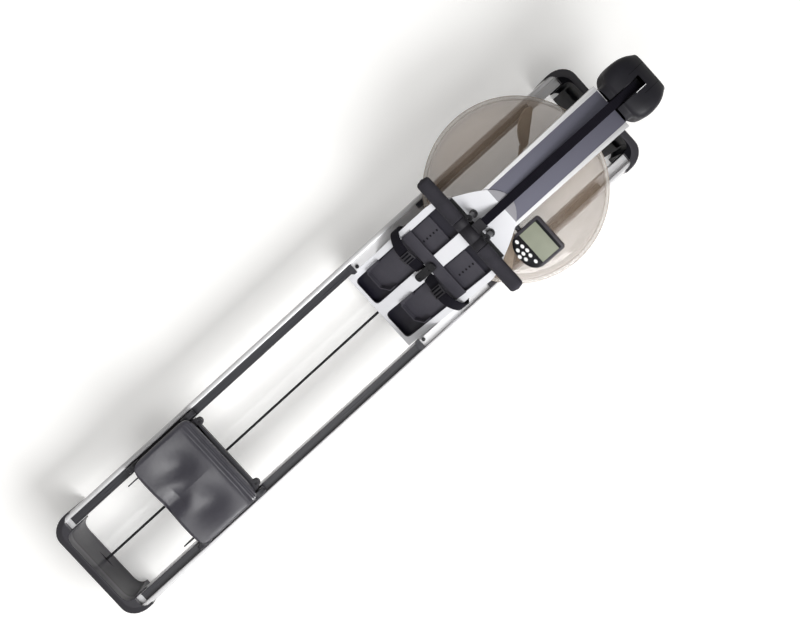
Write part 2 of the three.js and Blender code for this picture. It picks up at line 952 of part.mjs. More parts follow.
function footboard() {
  const sheet = common(boardBand(0, -boardGauge, boardHalf + over),
    prismZ(boardPlan(), 0, high, 8));
  const bead = rodY(beadRadius, beadX, beadZ, -boardHalf, boardHalf, coarse);
  const skirtPath = [boardPath[0], slopePlace((skirtFront - boardRear) / Math.cos(boardSlope), 0)];
  const skirt = (side) => {
    const band = boardBand(-boardGauge / 2, -skirtDepth, boardHalf, skirtPath);
    return common(band, block(boardRear, skirtFront + over,
      side > 0 ? boardHalf - boardGauge : -boardHalf,
      side > 0 ? boardHalf : boardGauge - boardHalf, 0, high));
  };
  let body = join(sheet, bead, skirt(1), skirt(-1));
  const opening = prismZ(trayPlan(0), 0, high, 6);
  body = cut(body, opening, mirrored(opening));
  const [gx, gz] = guidePlace();
  const hanger = common(
    block(gx - guideLength / 2, gx + guideLength / 2, -guideHalf, guideHalf, 0, high),
    boardBand(-boardGauge / 2, -guideDrop, boardHalf));
  const play = cordRadius + gap * 3;
  const eye = block(gx - guideLength, gx + guideLength, -play, play,
    gz - play - guideEyeDrop, gz + play + guideLength / 4);
  return join(body, cut(hanger, eye));
}

// Foot tray: a bent channel let into the board's opening

function leftTray() {
  const shell = common(boardBand(0, -trayDepth - trayGauge, boardHalf), prismZ(trayPlan(-gap), 0, high, 6));
  const room = common(boardBand(over, -trayDepth, boardHalf), prismZ(trayPlan(-gap - trayGauge), 0, high, 6));
  return cut(shell, room);
}

// Foot plate: made flat along the slope, with heel wall, chamfer and a row of pin holes

function footPlate(rear, side) {
  const half = plateHalf;
  const flat = outline([
    [0, -half + plateChamfer / 4],
    [plateChamfer / 4, -half],
    [plateLength, -half, heelGauge],
    [plateLength, half, heelGauge],
    [plateChamfer, half],
    [0, half - plateChamfer],
  ]);
  let body = extrude(flat, plateGauge, 3);
  const heelOuter = outline([
    [0, -half + plateChamfer / 4],
    [plateChamfer / 4, -half],
    [heelSide, -half],
    [heelSide, -half + heelGauge],
    [plateChamfer / 4 + heelGauge / 2, -half + heelGauge],
    [heelGauge, -half + plateChamfer / 4 + heelGauge / 2],
    [heelGauge, half - plateChamfer - heelGauge / 2],
    [plateChamfer + heelGauge / 2, half - heelGauge],
    [plateChamfer * 2, half - heelGauge],
    [plateChamfer * 2, half],
    [plateChamfer, half],
    [0, half - plateChamfer],
  ]);
  const wing = block(plateChamfer / 4, heelSide, -half - heelWing, -half + heelGauge,
    trayDepth + gap, heelHeight);
  body = join(body, extrude(heelOuter, heelHeight, 3), wing);
  const holes = [];
  for (let i = 0; i < pinHoleCount; i += 1) {
    const x = plateLength - pinHoleFromTop - i * pinHolePitch;
    holes.push(rodZ(pinHoleRadius, x, 0, -over, plateGauge + over, 10));
  }
  body = cut(body, ...holes);
  body = mirrored(body);
  const [x, z] = slopePlace(rear, -trayDepth + gap);
  body.rotateY(-boardSlope);
  body.translate(x, side * plateCentre, z);
  return body;
}

// Bar across both foot plates, clip and straps

function footBar() {
  return slopeBlock(barFrom, barFrom + barWidth, -barHalf, barHalf, gap, gap + barGauge);
}

function strapClip() {
  const shape = outline([
    [0, -clipHalf, clipHalf], [clipLength, -clipHalf, clipHalf],
    [clipLength, clipHalf, clipHalf], [0, clipHalf, clipHalf],
  ]);
  let body = extrude(shape, clipHeight, 8);
  const notch = block(barFrom - clipFrom - gap, barFrom - clipFrom + barWidth + gap,
    -clipHalf - over, clipHalf + over, -over, barGauge + gap);
  const screws = clipScrewShares.map((share) =>
    rodZ(clipScrewRadius, share * clipLength, 0, clipHeight - clipScrewDepth, clipHeight + over, 16));
  body = cut(body, notch, ...screws);
  body.rotateY(-boardSlope);
  const [x, z] = slopePlace(clipFrom, gap);
  body.translate(x, 0, z);
  return body;
}

// The arch of a foot strap: across the machine and out from the slope
function strapArch(out) {
  const points = [];
  const steps = 22;
  const span = footStrapOuter - footStrapInner;
  for (let i = 0; i <= steps; i += 1) {
    const t = i / steps;
    const rise = footStrapRise * Math.sin(halfTurn * t ** footStrapLeanShare) ** footStrapFullShare;
    points.push([footStrapInner + span * t, footStrapGauge / 2 + gap + rise]);
  }
  const side = boardHalf + gap + footStrapGauge / 2;
  const across = [footStrapOuter + footStrapGauge / 2, (footStrapOuter + side) / 2, side, side];
  footStrapSideShares.forEach((share, i) => points.push([across[i], -footStrapTail * share]));
  return offsetPath(points, out);
}

// Sets a piece of a foot strap on the slope, where the strap runs forward on its way out.
function onSlope(geometry, along) {
  const at = geometry.attributes.position;
  for (let i = 0; i < at.count; i += 1) {
    const share = (at.getY(i) - footStrapInner) / (footStrapOuter - footStrapInner);
    at.setX(i, at.getX(i) + footStrapSlant * share);
  }
  geometry.rotateY(-boardSlope);
  const [x, z] = slopePlace(along, 0);
  geometry.translate(x, 0, z);
  return geometry;
}

function leftFootStrap() {
  const band = outline([
    ...strapArch(footStrapGauge / 2), ...strapArch(-footStrapGauge / 2).reverse(),
  ]);
  return onSlope(prismX(band, 0, footStrapWidth), footStrapFrom);
}

function leftBuckle() {
  const from = footStrapFrom + (footStrapWidth - buckleLength) / 2;
  const near = strapArch(footStrapGauge / 2 + gap);
  const far = strapArch(footStrapGauge / 2 + gap + buckleGauge);
  const within = ([y]) => Math.abs(y - buckleAcross) <= buckleHalf;
  const low = near.filter(within);
  const top = far.filter(within).reverse();
  let body = prismX(outline([...low, ...top]), 0, buckleLength);
  const slots = [-1, 0, 1].map((k) => {
    const y = buckleAcross + k * buckleSlot * 2;
    return block(buckleSlot, buckleLength - buckleSlot, y - buckleSlot / 2, y + buckleSlot / 2, 0,
      footStrapRise * 2);
  });
  body = cut(body, ...slots);
  return onSlope(body, from);
}

// Handle

const handleOut = stripHeight + gap + gripMinor;
const [handleX, handleZ] = deckPlace(handleAlong, handleOut);

// Ovals lie with their long way along the deck.
function ovalRod(major, minor, y0, y1, round) {
  const half = (y1 - y0) / 2;
  const points = [[0, -half]];
  const steps = 4;
  for (let i = 0; i <= steps; i += 1) {
    const t = quarterTurn * i / steps;
    points.push([major - round + round * Math.sin(t), -half + round - round * Math.cos(t)]);
  }
  for (let i = 0; i <= steps; i += 1) {
    const t = quarterTurn * i / steps;
    points.push([major - round + round * Math.cos(t), half - round + round * Math.sin(t)]);
  }
  points.push([0, half]);
  const geometry = new THREE.LatheGeometry(points.map(([r, y]) => new THREE.Vector2(r, y)), coarse);
  geometry.scale(1, 1, minor / major);
  geometry.translate(0, (y0 + y1) / 2, 0);
  return geometry;
}

function placeHandle(geometry) {
  geometry.rotateY(-deckSlope);
  geometry.translate(handleX, 0, handleZ);
  return geometry;
}

function handleBar() {
  const core = rodY(coreRadius, 0, 0, -handleHalfLength, handleHalfLength, coarse);
  const nub = rodY(coreNub, 0, 0, -handleHalfLength - coreNubLength, handleHalfLength + coreNubLength, 16);
  const hub = ovalRod(hubMajor, hubMinor, -gripInner + gap, gripInner - gap, coreNubLength);
  return placeHandle(join(core, nub, hub));
}

function leftGrip() {
  const oval = ovalRod(gripMajor, gripMinor, gripInner, handleHalfLength + coreNubLength / 2, gripRound);
  const core = rodY(coreRadius + gap, 0, 0, gripInner - over, handleHalfLength + gap, coarse);
  const nub = rodY(coreNub + gap, 0, 0, 0, handleHalfLength + coreNubLength * 2, 16);
  return placeHandle(cut(oval, core, nub));
}

// The strap's end clip, with the pocket that the strap goes into
function strapEnd() {
  const x0 = hubMajor + gap;
  const body = block(x0, x0 + clipEndLength, -clipEndHalf - strapGauge, clipEndHalf + strapGauge,
    -clipEndGauge / 2, clipEndGauge / 2);
  const pocket = block(x0 + clipEndLength * 2 / 3, x0 + clipEndLength + over, -strapHalf - gap, strapHalf + gap,
    -strapGauge / 2 - gap, strapGauge / 2 + gap);
  const waist = block(x0 + clipEndLength / 6, x0 + clipEndLength / 3, -clipEndHalf - over, clipEndHalf + over,
    clipEndGauge / 3, clipEndGauge);
  return placeHandle(cut(body, pocket, waist));
}

function restStrip() {
  return deckBlock(stripFrom, stripTo, -stripHalf, stripHalf, gap, stripHeight, stripHeight / 2);
}

function leftPost() {
  const foot = turned([
    [0, gap], [postFoot, gap], [postFoot, postFootHeight / 2], [postRadius + gap, postFootHeight],
    [postRadius, postFootHeight + gap], [postRadius, postLength - postHeadHeight - gap],
    [postHead, postLength - postHeadHeight], [postHead, postLength - gap * 4],
    [postHead - gap * 4, postLength], [postSocket, postLength],
    [postSocket, postLength - postSocketDepth], [0, postLength - postSocketDepth],
  ], 16);
  foot.rotateY(-deckSlope);
  const [x, z] = deckPlace(postAlong, 0);
  foot.translate(x, postAcross, z);
  return foot;
}

// Arm over the tank


function armPlan(x0, x1, inset) {
  const halfAt = (x) => armRearHalf + (armFrontHalf - armRearHalf) * (x - armRear) / (armFront - armRear) - inset;
  return outline([
    [x0, -halfAt(x0)], [x1, -halfAt(x1)], [x1, halfAt(x1)], [x0, halfAt(x0)],
  ]);
}

function armBeam() {
  let body = prismZ(armPlan(armRear, armFront, 0), armBase, armTop);
  const room = prismZ(armPlan(armRear + armWall, armFront + over, armWall),
    armBase + armWall, armTop - panelGauge * 2);
  const mouth = block(armRear + armWall, armFront + over, -panelHalf + panelLedge, panelHalf - panelLedge,
    armTop - panelGauge * 2 - over, armTop + over);
  const seat = block(armRear + armWall, armFront + over, -panelHalf - gap, panelHalf + gap,
    armTop - panelGauge - gap, armTop + over);
  const under = boardBand(armDepth, -boardGauge - gap, boardHalf);
  const shaftHole = rodZ(bossRadius / 2, tankX, 0, armBase - over, armBase + armWall + over, 24);
  const cordHole = rodX(armCordHole, 0, drumZ, armRear - over, armRear + armWall + over, 16);
  return cut(body, room, mouth, seat, under, shaftHole, cordHole);
}

function armPanel() {
  const plate = block(armRear + armWall + gap, armFront - gap, -panelHalf, panelHalf,
    armTop - panelGauge, armTop);
  return cut(plate, boardBand(armDepth, -boardGauge - gap, boardHalf));
}

// Pulley housing: a barrel in plan with a collar at its rear, and a rounded nose from the side

const housingRear = armFront + gap;
const pulleyX = housingRear + pulleyAlong;
const pulleyZ = housingTop - housingWall - pulleyFlange * 2 - pulleyRadius - strapGauge * 4;

function housingSide(inset) {
  const x0 = housingRear - (inset > 0 ? over : 0);
  const x1 = housingRear + housingLength - inset;
  return outline([
    [x0, armBase + inset],
    [x1 - housingLength / 8, armBase + inset, housingLength / 14],
    [x1, armBase + housingFrontLift, housingLength / 14],
    [x1, housingTop - housingFrontDrop - inset, housingLength / 6],
    [x1 - housingLength / 3, housingTop - inset, housingLength / 5],
    [housingRear + housingCollar * 2, housingTop - inset, housingCollar],
    [housingRear + housingCollar, housingTop - housingCollarDrop - inset],
    [x0, housingTop - housingRearDrop - inset],
  ]);
}

function housingPlan(inset) {
  const x0 = housingRear - (inset > 0 ? over : 0);
  const x1 = housingRear + housingLength - inset;
  const edge = housingPlanShares.map(([along, across]) => [x0 + (x1 - x0) * along, housingHalf * across - inset]);
  const shape = new THREE.Shape();
  edge.forEach(([x, y], i) => (i ? shape.lineTo(x, y) : shape.moveTo(x, y)));
  edge.reverse().forEach(([x, y]) => shape.lineTo(x, -y));
  shape.closePath();
  return shape;
}

function pulleyHousing() {
  const outer = common(prismY(housingSide(0), -housingHalf - over, housingHalf + over, 5),
    prismZ(housingPlan(0), 0, high * 2));
  const inner = common(prismY(housingSide(housingWall), -housingHalf - over, housingHalf + over, 5),
    prismZ(housingPlan(housingWall), 0, high * 2));
  const slot = block(housingRear - over, housingRear + slotLength, -slotHalf, slotHalf,
    pulleyZ, high + over);
  const cheek = (side) => block(pulleyX - pulleyRadius, pulleyX + pulleyRadius,
    side > 0 ? cheekIn : -cheekIn - housingWall, side > 0 ? cheekIn + housingWall : -cheekIn,
    armBase + housingWall / 2, pulleyZ + pulleyAxle * 2);
  const axleBore = rodY(pulleyAxle + gap, pulleyX, pulleyZ, -housingHalf, housingHalf, 20);
  const shell = cut(outer, inner, slot);
  return join(shell, cut(cheek(1), axleBore), cut(cheek(-1), axleBore));
}

const pulleyHalf = strapHalf + gap * 2 + pulleyFlangeGauge;
const cheekIn = pulleyHalf + gap;

function axlePin() {
  const reach = cheekIn + housingWall + pulleyFlange;
  return rodY(pulleyAxle, pulleyX, pulleyZ, -reach, reach, 20);
}

function frontPulley() {
  const inner = pulleyHalf - pulleyFlangeGauge;
  const wheel = turned([
    [pulleyAxle + gap, -pulleyHalf], [pulleyRadius + pulleyFlange, -pulleyHalf],
    [pulleyRadius + pulleyFlange, -inner], [pulleyRadius, -inner],
    [pulleyRadius, inner], [pulleyRadius + pulleyFlange, inner],
    [pulleyRadius + pulleyFlange, pulleyHalf], [pulleyAxle + gap, pulleyHalf],
    [pulleyAxle + gap, -pulleyHalf],
  ], 24);
  wheel.rotateX(quarterTurn);
  return wheel;
}

function armUpright() {
  const tube = outline([
    [uprightRear, -uprightHalf, uprightWall * 2], [uprightFront, -uprightHalf, uprightWall * 2],
    [uprightFront, uprightHalf, uprightWall * 2], [uprightRear, uprightHalf, uprightWall * 2],
  ]);
  tube.holes.push(outline([
    [uprightRear + uprightWall, -uprightHalf + uprightWall], [uprightFront - uprightWall, -uprightHalf + uprightWall],
    [uprightFront - uprightWall, uprightHalf - uprightWall], [uprightRear + uprightWall, uprightHalf - uprightWall],
  ]));
  return prismZ(tube, capTop + gap, armBase - gap, 3);
}

// Water tank: base and cover turned about the shaft, meeting at a flange

const tankBase = cradleTop + gap;
const bossTop = armBase - gap;

function bend(x0, y0, cx, cy, x1, y1, steps) {
  return new THREE.QuadraticBezierCurve(new THREE.Vector2(x0, y0), new THREE.Vector2(cx, cy),
    new THREE.Vector2(x1, y1)).getPoints(steps).map((p) => [p.x, p.y]);
}

function tankBaseShell() {
  const seam = tankSeam;
  const wallIn = tankWallRadius - tankSkin;
  return turned([
    [0, tankBase],
    ...bend(tankFloorRadius, tankBase, tankWallRadius, tankBase + tankSkin, tankWallRadius, seam - tankFlange * 4, 5),
    [tankWallRadius, seam - tankFlange],
    [tankRim, seam - tankFlange], [tankRim, seam],
    [wallIn, seam],
    ...bend(wallIn, seam - tankFlange * 4, wallIn, tankBase + tankSkin * 2, tankFloorRadius, tankBase + tankSkin, 4),
    [shaftRadius + shaftPlay + socketWall, tankBase + tankSkin],
    [shaftRadius + shaftPlay + socketWall, tankBase + tankSkin + socketRise],
    [shaftRadius + shaftPlay, tankBase + tankSkin + socketRise],
    [shaftRadius + shaftPlay, tankBase + tankSkin], [0, tankBase + tankSkin],
  ], tankSides);
}

function tankCoverShell() {
  const seam = tankSeam + gap;
  const wallIn = tankWallRadius - tankSkin;
  return turned([
    [wallIn, seam], [tankRim, seam], [tankRim, seam + tankFlange], [tankWallRadius, seam + tankFlange],
    ...bend(tankWallRadius, seam + tankFlange * 2, tankWallRadius, tankShoulderTop, tankShoulder, tankShoulderTop, 5),
    [bossRadius + tankFlange * 2, tankDomeTop], [bossRadius, tankDomeTop + tankFlange], [bossRadius, bossTop],
    [shaftRadius + shaftPlay, bossTop], [shaftRadius + shaftPlay, tankDomeTop - tankSkin],
    ...bend(tankShoulder, tankShoulderTop - tankSkin, wallIn, tankShoulderTop - tankSkin, wallIn,
      seam + tankFlange * 2, 5),
    [wallIn, seam],
  ], tankSides);
}

// Spool on the shaft: one drum for the strap and one for the cord

const spoolBase = armBase + armWall + gap;
const drumLow = spoolBase + spoolPlate;
const drumZ = drumLow + gap + cordRadius;
const drumMid = drumZ + cordRadius + gap;
const strapDrumLow = drumMid + spoolPlate;
const strapZ = strapDrumLow + gap + strapHalf;
const strapDrumHigh = strapZ + strapHalf + gap;
const spoolTop = strapDrumHigh + spoolPlate;

function strapSpool() {
  const bore = shaftRadius + gap;
  return turned([
    [bore, spoolBase], [spoolFlange, spoolBase], [spoolFlange, drumLow], [spoolCore, drumLow],
    [spoolCore, drumMid], [spoolFlange, drumMid], [spoolFlange, strapDrumLow], [spoolCore, strapDrumLow],
    [spoolCore, strapDrumHigh], [spoolFlange, strapDrumHigh], [spoolFlange, spoolTop], [bore, spoolTop],
    [bore, spoolBase],
  ], coarse);
}

// Paddle: shaft, hub, two arms and two leaning blades

function paddle() {
  const foot = tankBase + tankSkin + gap;
  const shaft = rodZ(shaftRadius, 0, 0, foot, spoolTop + nutHeight, 24);
  const nut = rodZ(nutRadius, 0, 0, spoolTop + gap, spoolTop + nutHeight, 6);
  const hub = rodZ(paddleHubRadius, 0, 0, bladeMid - bladeHeight / 3, bladeMid + bladeHeight / 3, 24);
  const pieces = [shaft, nut, hub];
  for (const side of [1, -1]) {
    const bar = block(-armBarHalf, armBarHalf, 0, bladeRoot + armBarHalf, -armBarGauge / 2, armBarGauge / 2);
    bar.rotateY(side * bladeLean);
    bar.translate(0, 0, bladeMid);
    const edge = bladeShares.map(([along, up]) => [bladeRoot + along * (paddleTip - bladeRoot), up * bladeHeight]);
    const blade = prismX(outline(edge), -bladeGauge / 2, bladeGauge / 2, 4);
    blade.rotateY(-side * (quarterTurn - bladeLean));
    blade.translate(0, 0, bladeMid);
    if (side < 0) {
      bar.rotateZ(halfTurn);
      blade.rotateZ(halfTurn);
    }
    pieces.push(bar, blade);
  }
  const body = join(...pieces);
  body.rotateZ(-paddleTurn);
  return body;
}

// Pull strap: over the deck's bend, round the front pulley, back inside the arm and on to the spool

function pullStrap() {
  const stations = [];
  const across = new THREE.Vector3(0, 1, 0);
  const put = (x, y, z, wide) => stations.push({ at: new THREE.Vector3(x, y, z), wide });
  const wrap = pulleyRadius + gap + strapGauge / 2;
  const tip = hubMajor + gap + clipEndLength * 2 / 3 + gap * 2;
  const [sx, sz] = [handleX + tip * Math.cos(deckSlope), handleZ + tip * Math.sin(deckSlope)];
  const out = clipEndLength / 3 + strapGauge;
  put(sx, 0, sz, across);
  put(sx + out * Math.cos(deckSlope), 0, sz + out * Math.sin(deckSlope), across);
  put(boardBend, 0, bendHeight + gap * 3 + strapGauge / 2, across);
  put(boardBend + over, 0, bendHeight + gap * 4 + strapGauge / 2, across);
  const turns = 12;
  for (let i = 0; i <= turns; i += 1) {
    const t = halfTurn * i / turns;
    put(pulleyX + wrap * Math.sin(t), 0, pulleyZ + wrap * Math.cos(t), across);
  }
  const lowZ = pulleyZ - wrap;
  const side = spoolCore + gap + strapGauge / 2;
  const twistSteps = 12;
  const twistFrom = armFront - twistBack;
  const twistTo = tankX + twistReach;
  for (let i = 0; i <= twistSteps; i += 1) {
    const t = i / twistSteps;
    const ease = t * t * (3 - 2 * t);
    const turn = quarterTurn * ease;
    put(twistFrom + (twistTo - twistFrom) * t, side * ease, lowZ + (strapZ - lowZ) * ease,
      new THREE.Vector3(0, Math.cos(turn), Math.sin(turn)));
  }
  const wrapSteps = 14;
  for (let i = 0; i <= wrapSteps; i += 1) {
    const t = spoolWrap * i / wrapSteps;
    put(tankX - side * Math.sin(t), side * Math.cos(t), strapZ, new THREE.Vector3(0, 0, 1));
  }
  return ribbon(stations, strapHalf, strapGauge);
}

// Recoil cord: from the rear cap under the seat, round the board's rear edge and up to the spool

function recoilCord() {
  const points = [];
  const put = (x, y, z) => points.push(new THREE.Vector3(x, y, z));
  const bendRadius = beadRadius + gap + cordRadius;
  put(rearCapFace + capWall * 2 + gap * 4 + cordAnchorHalf / 3, 0, cordZ);
  put(rearCapFace + capRim * 2, 0, cordZ);
  put((rearCapFace + boardRear) / 2, 0, cordZ);
  const steps = 5;
  for (let i = 0; i <= steps; i += 1) {
    const t = boardSlope * i / steps;
    put(beadX + bendRadius * Math.sin(t), 0, beadZ - bendRadius * Math.cos(t));
  }
  const [gx, gz] = guidePlace();
  const climb = (gz - points[points.length - 1].z) / (gx - points[points.length - 1].x);
  put(gx - guideLength, 0, gz - climb * guideLength);
  put(gx, 0, gz);
  const wall = armRear - armWall;
  const rise = (drumZ - gz) / (wall - gx);
  put(gx + guideLength, 0, gz + rise * guideLength);
  put(wall - guideLength, 0, drumZ - rise * guideLength);
  put(wall, 0, drumZ);
  put(wall + guideLength, 0, drumZ);
  const around = spoolCore + gap + cordRadius;
  const from = wall + guideLength;
  const reach = tankX - from;
  const lean = Math.asin(around / reach);
  const wrapSteps = 12;
  for (let i = 0; i <= wrapSteps; i += 1) {
    const t = quarterTurn + lean - i * cordWrap / wrapSteps;
    put(tankX + around * Math.cos(t), around * Math.sin(t), drumZ);
  }
  const ring = new THREE.Shape();
  for (let k = 0; k < cordSides; k += 1) {
    const a = 2 * halfTurn * (k + 0.5) / cordSides;
    const [x, y] = [cordRadius * Math.cos(a), cordRadius * Math.sin(a)];
    if (k === 0) {
      ring.moveTo(x, y);
    } else {
      ring.lineTo(x, y);
    }
  }
  ring.closePath();
  const path = new StationPath(points);
  const body = new THREE.ExtrudeGeometry(ring, { steps: points.length - 1, extrudePath: path, curveSegments: 1 });
  const knot = rodX(cordAnchorRadius, 0, cordZ, rearCapFace + capWall * 2 - gap * 4,
    rearCapFace + capRim - capWall - gap, 12);
  return join(body, knot);
}

// Seat pad: crown, two hollows, a rear channel and drawn-in sides.
// u runs from -1 at the rear edge to 1 at the front, v from -1 to 1 across.

const padShares = {
  squareness: 11,
  hollowAcross: 0.44,
  hollowBack: 0.1,
  hollowLength: 0.5,
  hollowWidth: 0.3,
  channelWidth: 0.16,
  channelFront: 0.25,
  channelFade: 0.7,
  lipPlace: 0.86,
  lipWidth: 0.1,
  edge: 0.88,
  notchWidth: 0.3,
  side: 0.62,
  tighten: 1.25,
  under: [0.5, 0.93, 0.985],
};

function bump(distance, width) {
  return Math.exp(-((distance / width) ** 2));
}

// Height of the pad's upper face above its base
function padFace(u, v) {
  const hollow = bump(u + padShares.hollowBack, padShares.hollowLength)
    * bump(Math.abs(v) - padShares.hollowAcross, padShares.hollowWidth);
  const fade = Math.min(1, Math.max(0, (padShares.channelFront - u) / padShares.channelFade));
  const channel = bump(v, padShares.channelWidth) * fade;
  const lip = bump(u - padShares.lipPlace, padShares.lipWidth);
  const far = Math.max(Math.abs(u), Math.abs(v), padShares.edge);
  const fall = ((far - padShares.edge) / (1 - padShares.edge)) ** 2;
  return seatThick - seatDish * hollow - seatChannel * channel + seatLip * (lip - fall);
}

function seatPad() {
  const base = sideTop + gap;
  const rings = 11;
  const around = 48;
  const positions = [];
  const index = [];
  const edge = (k) => {
    const turn = 2 * halfTurn * k / around;
    const [c, s] = [Math.cos(turn), Math.sin(turn)];
    const power = padShares.squareness;
    const reach = (Math.abs(c) ** power + Math.abs(s) ** power) ** (-1 / power);
    return [c * reach, s * reach];
  };
  const place = (u, v, z) => {
    const notch = u < 0 ? -u * seatNotch * bump(v, padShares.notchWidth) : 0;
    positions.push(seatX + u * seatHalfLength + notch, v * seatHalfWidth, base + z);
  };
  place(0, 0, 0);
  padShares.under.forEach((share, r) => {
    for (let k = 0; k < around; k += 1) {
      const [u, v] = edge(k);
      place(u * share, v * share, r < padShares.under.length - 1 ? 0 : seatDraw);
    }
  });
  for (let k = 0; k < around; k += 1) {
    const [u, v] = edge(k);
    place(u, v, seatThick * padShares.side);
  }
  for (let r = 1; r < rings - 1; r += 1) {
    const share = 1 - (r / (rings - 1)) ** padShares.tighten;
    for (let k = 0; k < around; k += 1) {
      const [u, v] = edge(k).map((c) => c * share);
      place(u, v, padFace(u, v));
    }
  }
  place(0, 0, padFace(0, 0));
  const total = padShares.under.length + rings - 1;
  for (let k = 0; k < around; k += 1) {
    const n = (k + 1) % around;
    index.push(0, 1 + n, 1 + k);
    for (let r = 0; r < total - 1; r += 1) {
      const a = 1 + r * around;
      const b = a + around;
      index.push(a + k, a + n, b + n, a + k, b + n, b + k);
    }
    const last = 1 + (total - 1) * around;
    index.push(last + k, last + n, 1 + total * around);
  }
  const geometry = new THREE.BufferGeometry();
  geometry.setAttribute('position', new THREE.Float32BufferAttribute(positions, 3));
  geometry.setIndex(index);
  return outward(geometry);
}

// Seat carriage: side plates, cross bars, top plate and stub axles

const trackMid = (trackInner + trackOuter) / 2;
const rollerZ = trackTop + gap + rollerRadius;
const rollerHalf = rollerWidth / 2;

function seatFrame() {
  const plateShape = outline([
    [sideRear, sideTop - rearBarHeight],
    [sideRear + rearBarHeight, sideBase + frontBarGroove],
    [sideRear + rearBarHeight * 2, sideBase],
    [sideFront - frontBarDepth, sideBase],
    [sideFront, sideBase + frontBarDepth],
    [sideFront, sideTop],
    [sideRear + rearBarHeight * 2, sideTop],
  ]);
  const side = prismY(plateShape, sideAcross, sideAcross + sideGauge);
  const top = block(deckPlateRear, deckPlateFront, -sideAcross - gap, sideAcross + gap,
    sideTop - deckPlateGauge, sideTop);
  let bar = block(sideFront - frontBarDepth, sideFront, -frontBarHalf, frontBarHalf,
    sideTop - frontBarHeight, sideTop);
  const [grooveFront, grooveRear] = barGrooveShares.map((share) => sideFront - frontBarDepth * share);
  const groove = block(grooveRear, grooveFront,
    -frontBarHalf - over, frontBarHalf + over, sideTop - frontBarGroove, sideTop + over);
  bar = cut(bar, groove);
  const rear = block(deckPlateRear - rearBarDepth, deckPlateRear, -sideAcross - gap, sideAcross + gap,
    sideTop - rearBarHeight, sideTop);
  const tie = block(deckPlateFront - over, sideFront - frontBarDepth + over, -sideAcross / 2, sideAcross / 2,
    sideTop - deckPlateGauge, sideTop);
  const pieces = [side, mirrored(side), top, bar, rear, tie];
  for (const x of [rollerFront, rollerRear]) {
    const shoulder = rodY(axleShoulder, x, rollerZ, sideAcross + gap, trackMid - rollerHalf - gap, 16);
    const stub = rodY(axleRadius, x, rollerZ, sideAcross + gap, trackMid + rollerHalf + gap * 2, 16);
    const head = rodY(axleHead, x, rollerZ, trackMid + rollerHalf + gap,
      trackMid + rollerHalf + gap + axleHeadGauge, 16);
    const axle = join(shoulder, stub, head);
    pieces.push(axle, mirrored(axle));
  }
  const bossX = sideFront + barBossLead;
  const boss = rodZ(barBossRadius, bossX, barBossAcross, sideTop - frontBarHeight, sideTop, 24);
  const foot = rodZ(barBossFoot, bossX, barBossAcross, sideTop - frontBarHeight,
    sideTop - frontBarHeight / 2, 24);
  pieces.push(boss, foot, mirrored(boss), mirrored(foot));
  const socket = rodZ(barBossSocket, bossX, barBossAcross, sideTop - barBossSocketDepth, sideTop + over, 12);
  return cut(join(...pieces), socket, mirrored(socket));
}

function roller() {
  const bore = axleRadius + axlePlay;
  const wheel = turned([
    [bore, -rollerHalf], [rollerRadius - rollerTread, -rollerHalf], [rollerRadius, -rollerHalf + rollerTread],
    [rollerRadius, rollerHalf - rollerTread], [rollerRadius - rollerTread, rollerHalf], [bore, rollerHalf],
    [bore, -rollerHalf],
  ], coarse);
  wheel.rotateX(quarterTurn);
  return wheel;
}

// Monitor, built level about its own middle

function casePlan(inset) {
  const [l, w] = [caseHalfLength - inset, caseHalfWidth - inset];
  const shape = new THREE.Shape();
  const flat = -caseHalfLength / 4;
  const [near, far] = caseNoseShares;
  shape.moveTo(l - caseCorner, w);
  shape.lineTo(flat, w);
  shape.bezierCurveTo(-l * near, w, -l, w * far, -l, 0);
  shape.bezierCurveTo(-l, -w * far, -l * near, -w, flat, -w);
  shape.lineTo(l - caseCorner, -w);
  shape.quadraticCurveTo(l, -w, l, -w + caseCorner);
  shape.lineTo(l, w - caseCorner);
  shape.quadraticCurveTo(l, w, l - caseCorner, w);
  return shape;
}

const buttonPlaces = buttonRearShares.map((share, i) => [
  share * caseHalfLength,
  buttonSideShares[i] * caseHalfWidth,
]);

function oval(long, short, grow = 0) {
  const shape = new THREE.Shape();
  shape.absellipse(0, 0, long + grow, short + grow, 0, 2 * halfTurn, false, 0);
  return shape;
}

// The pin's place in the machine, worked out from its place on the tilted case
const pinX = monitorX + knuckleX * Math.cos(monitorTilt) + knuckleDrop * Math.sin(monitorTilt);
const pinZ = monitorZ + knuckleX * Math.sin(monitorTilt) - knuckleDrop * Math.cos(monitorTilt);
const caseSideY = monitorY + caseHalfWidth;

function monitorCase() {
  const shell = new THREE.ExtrudeGeometry(casePlan(caseBevel), {
    depth: caseHeight - 2 * caseBevel, bevelEnabled: true, bevelThickness: caseBevel,
    bevelSize: caseBevel, bevelSegments: 2, curveSegments: 8,
  });
  shell.translate(0, 0, -caseHeight + caseBevel);
  const window = block(lensRear - gap, lensFront + gap, -lensHalf - gap, lensHalf + gap,
    -lensGauge - gap, over);
  const pockets = buttonPlaces.map(([x, y]) => {
    const well = prismZ(oval(buttonShort, buttonLong, gap), -buttonDepth + buttonProud - gap - buttonTravel, over, 5);
    well.translate(x, y, 0);
    return well;
  });
  const lug = rodY(knuckleRadius, knuckleX, -knuckleDrop, caseHalfWidth - caseBevel * 2, caseHalfWidth + knuckleLength, 20);
  const bore = rodY(pinRadius + gap, knuckleX, -knuckleDrop,
    caseHalfWidth + knuckleLength - pinReach - gap, caseHalfWidth + knuckleLength + over, 16);
  return cut(join(shell, lug), window, bore, ...pockets);
}

function monitorLens() {
  return block(lensRear, lensFront, -lensHalf, lensHalf, -lensGauge, 0);
}

function button() {
  return prismZ(oval(buttonShort, buttonLong), -buttonDepth, 0, 5);
}

// Bracket on the arm's side, with the pin that the monitor's knuckle turns on

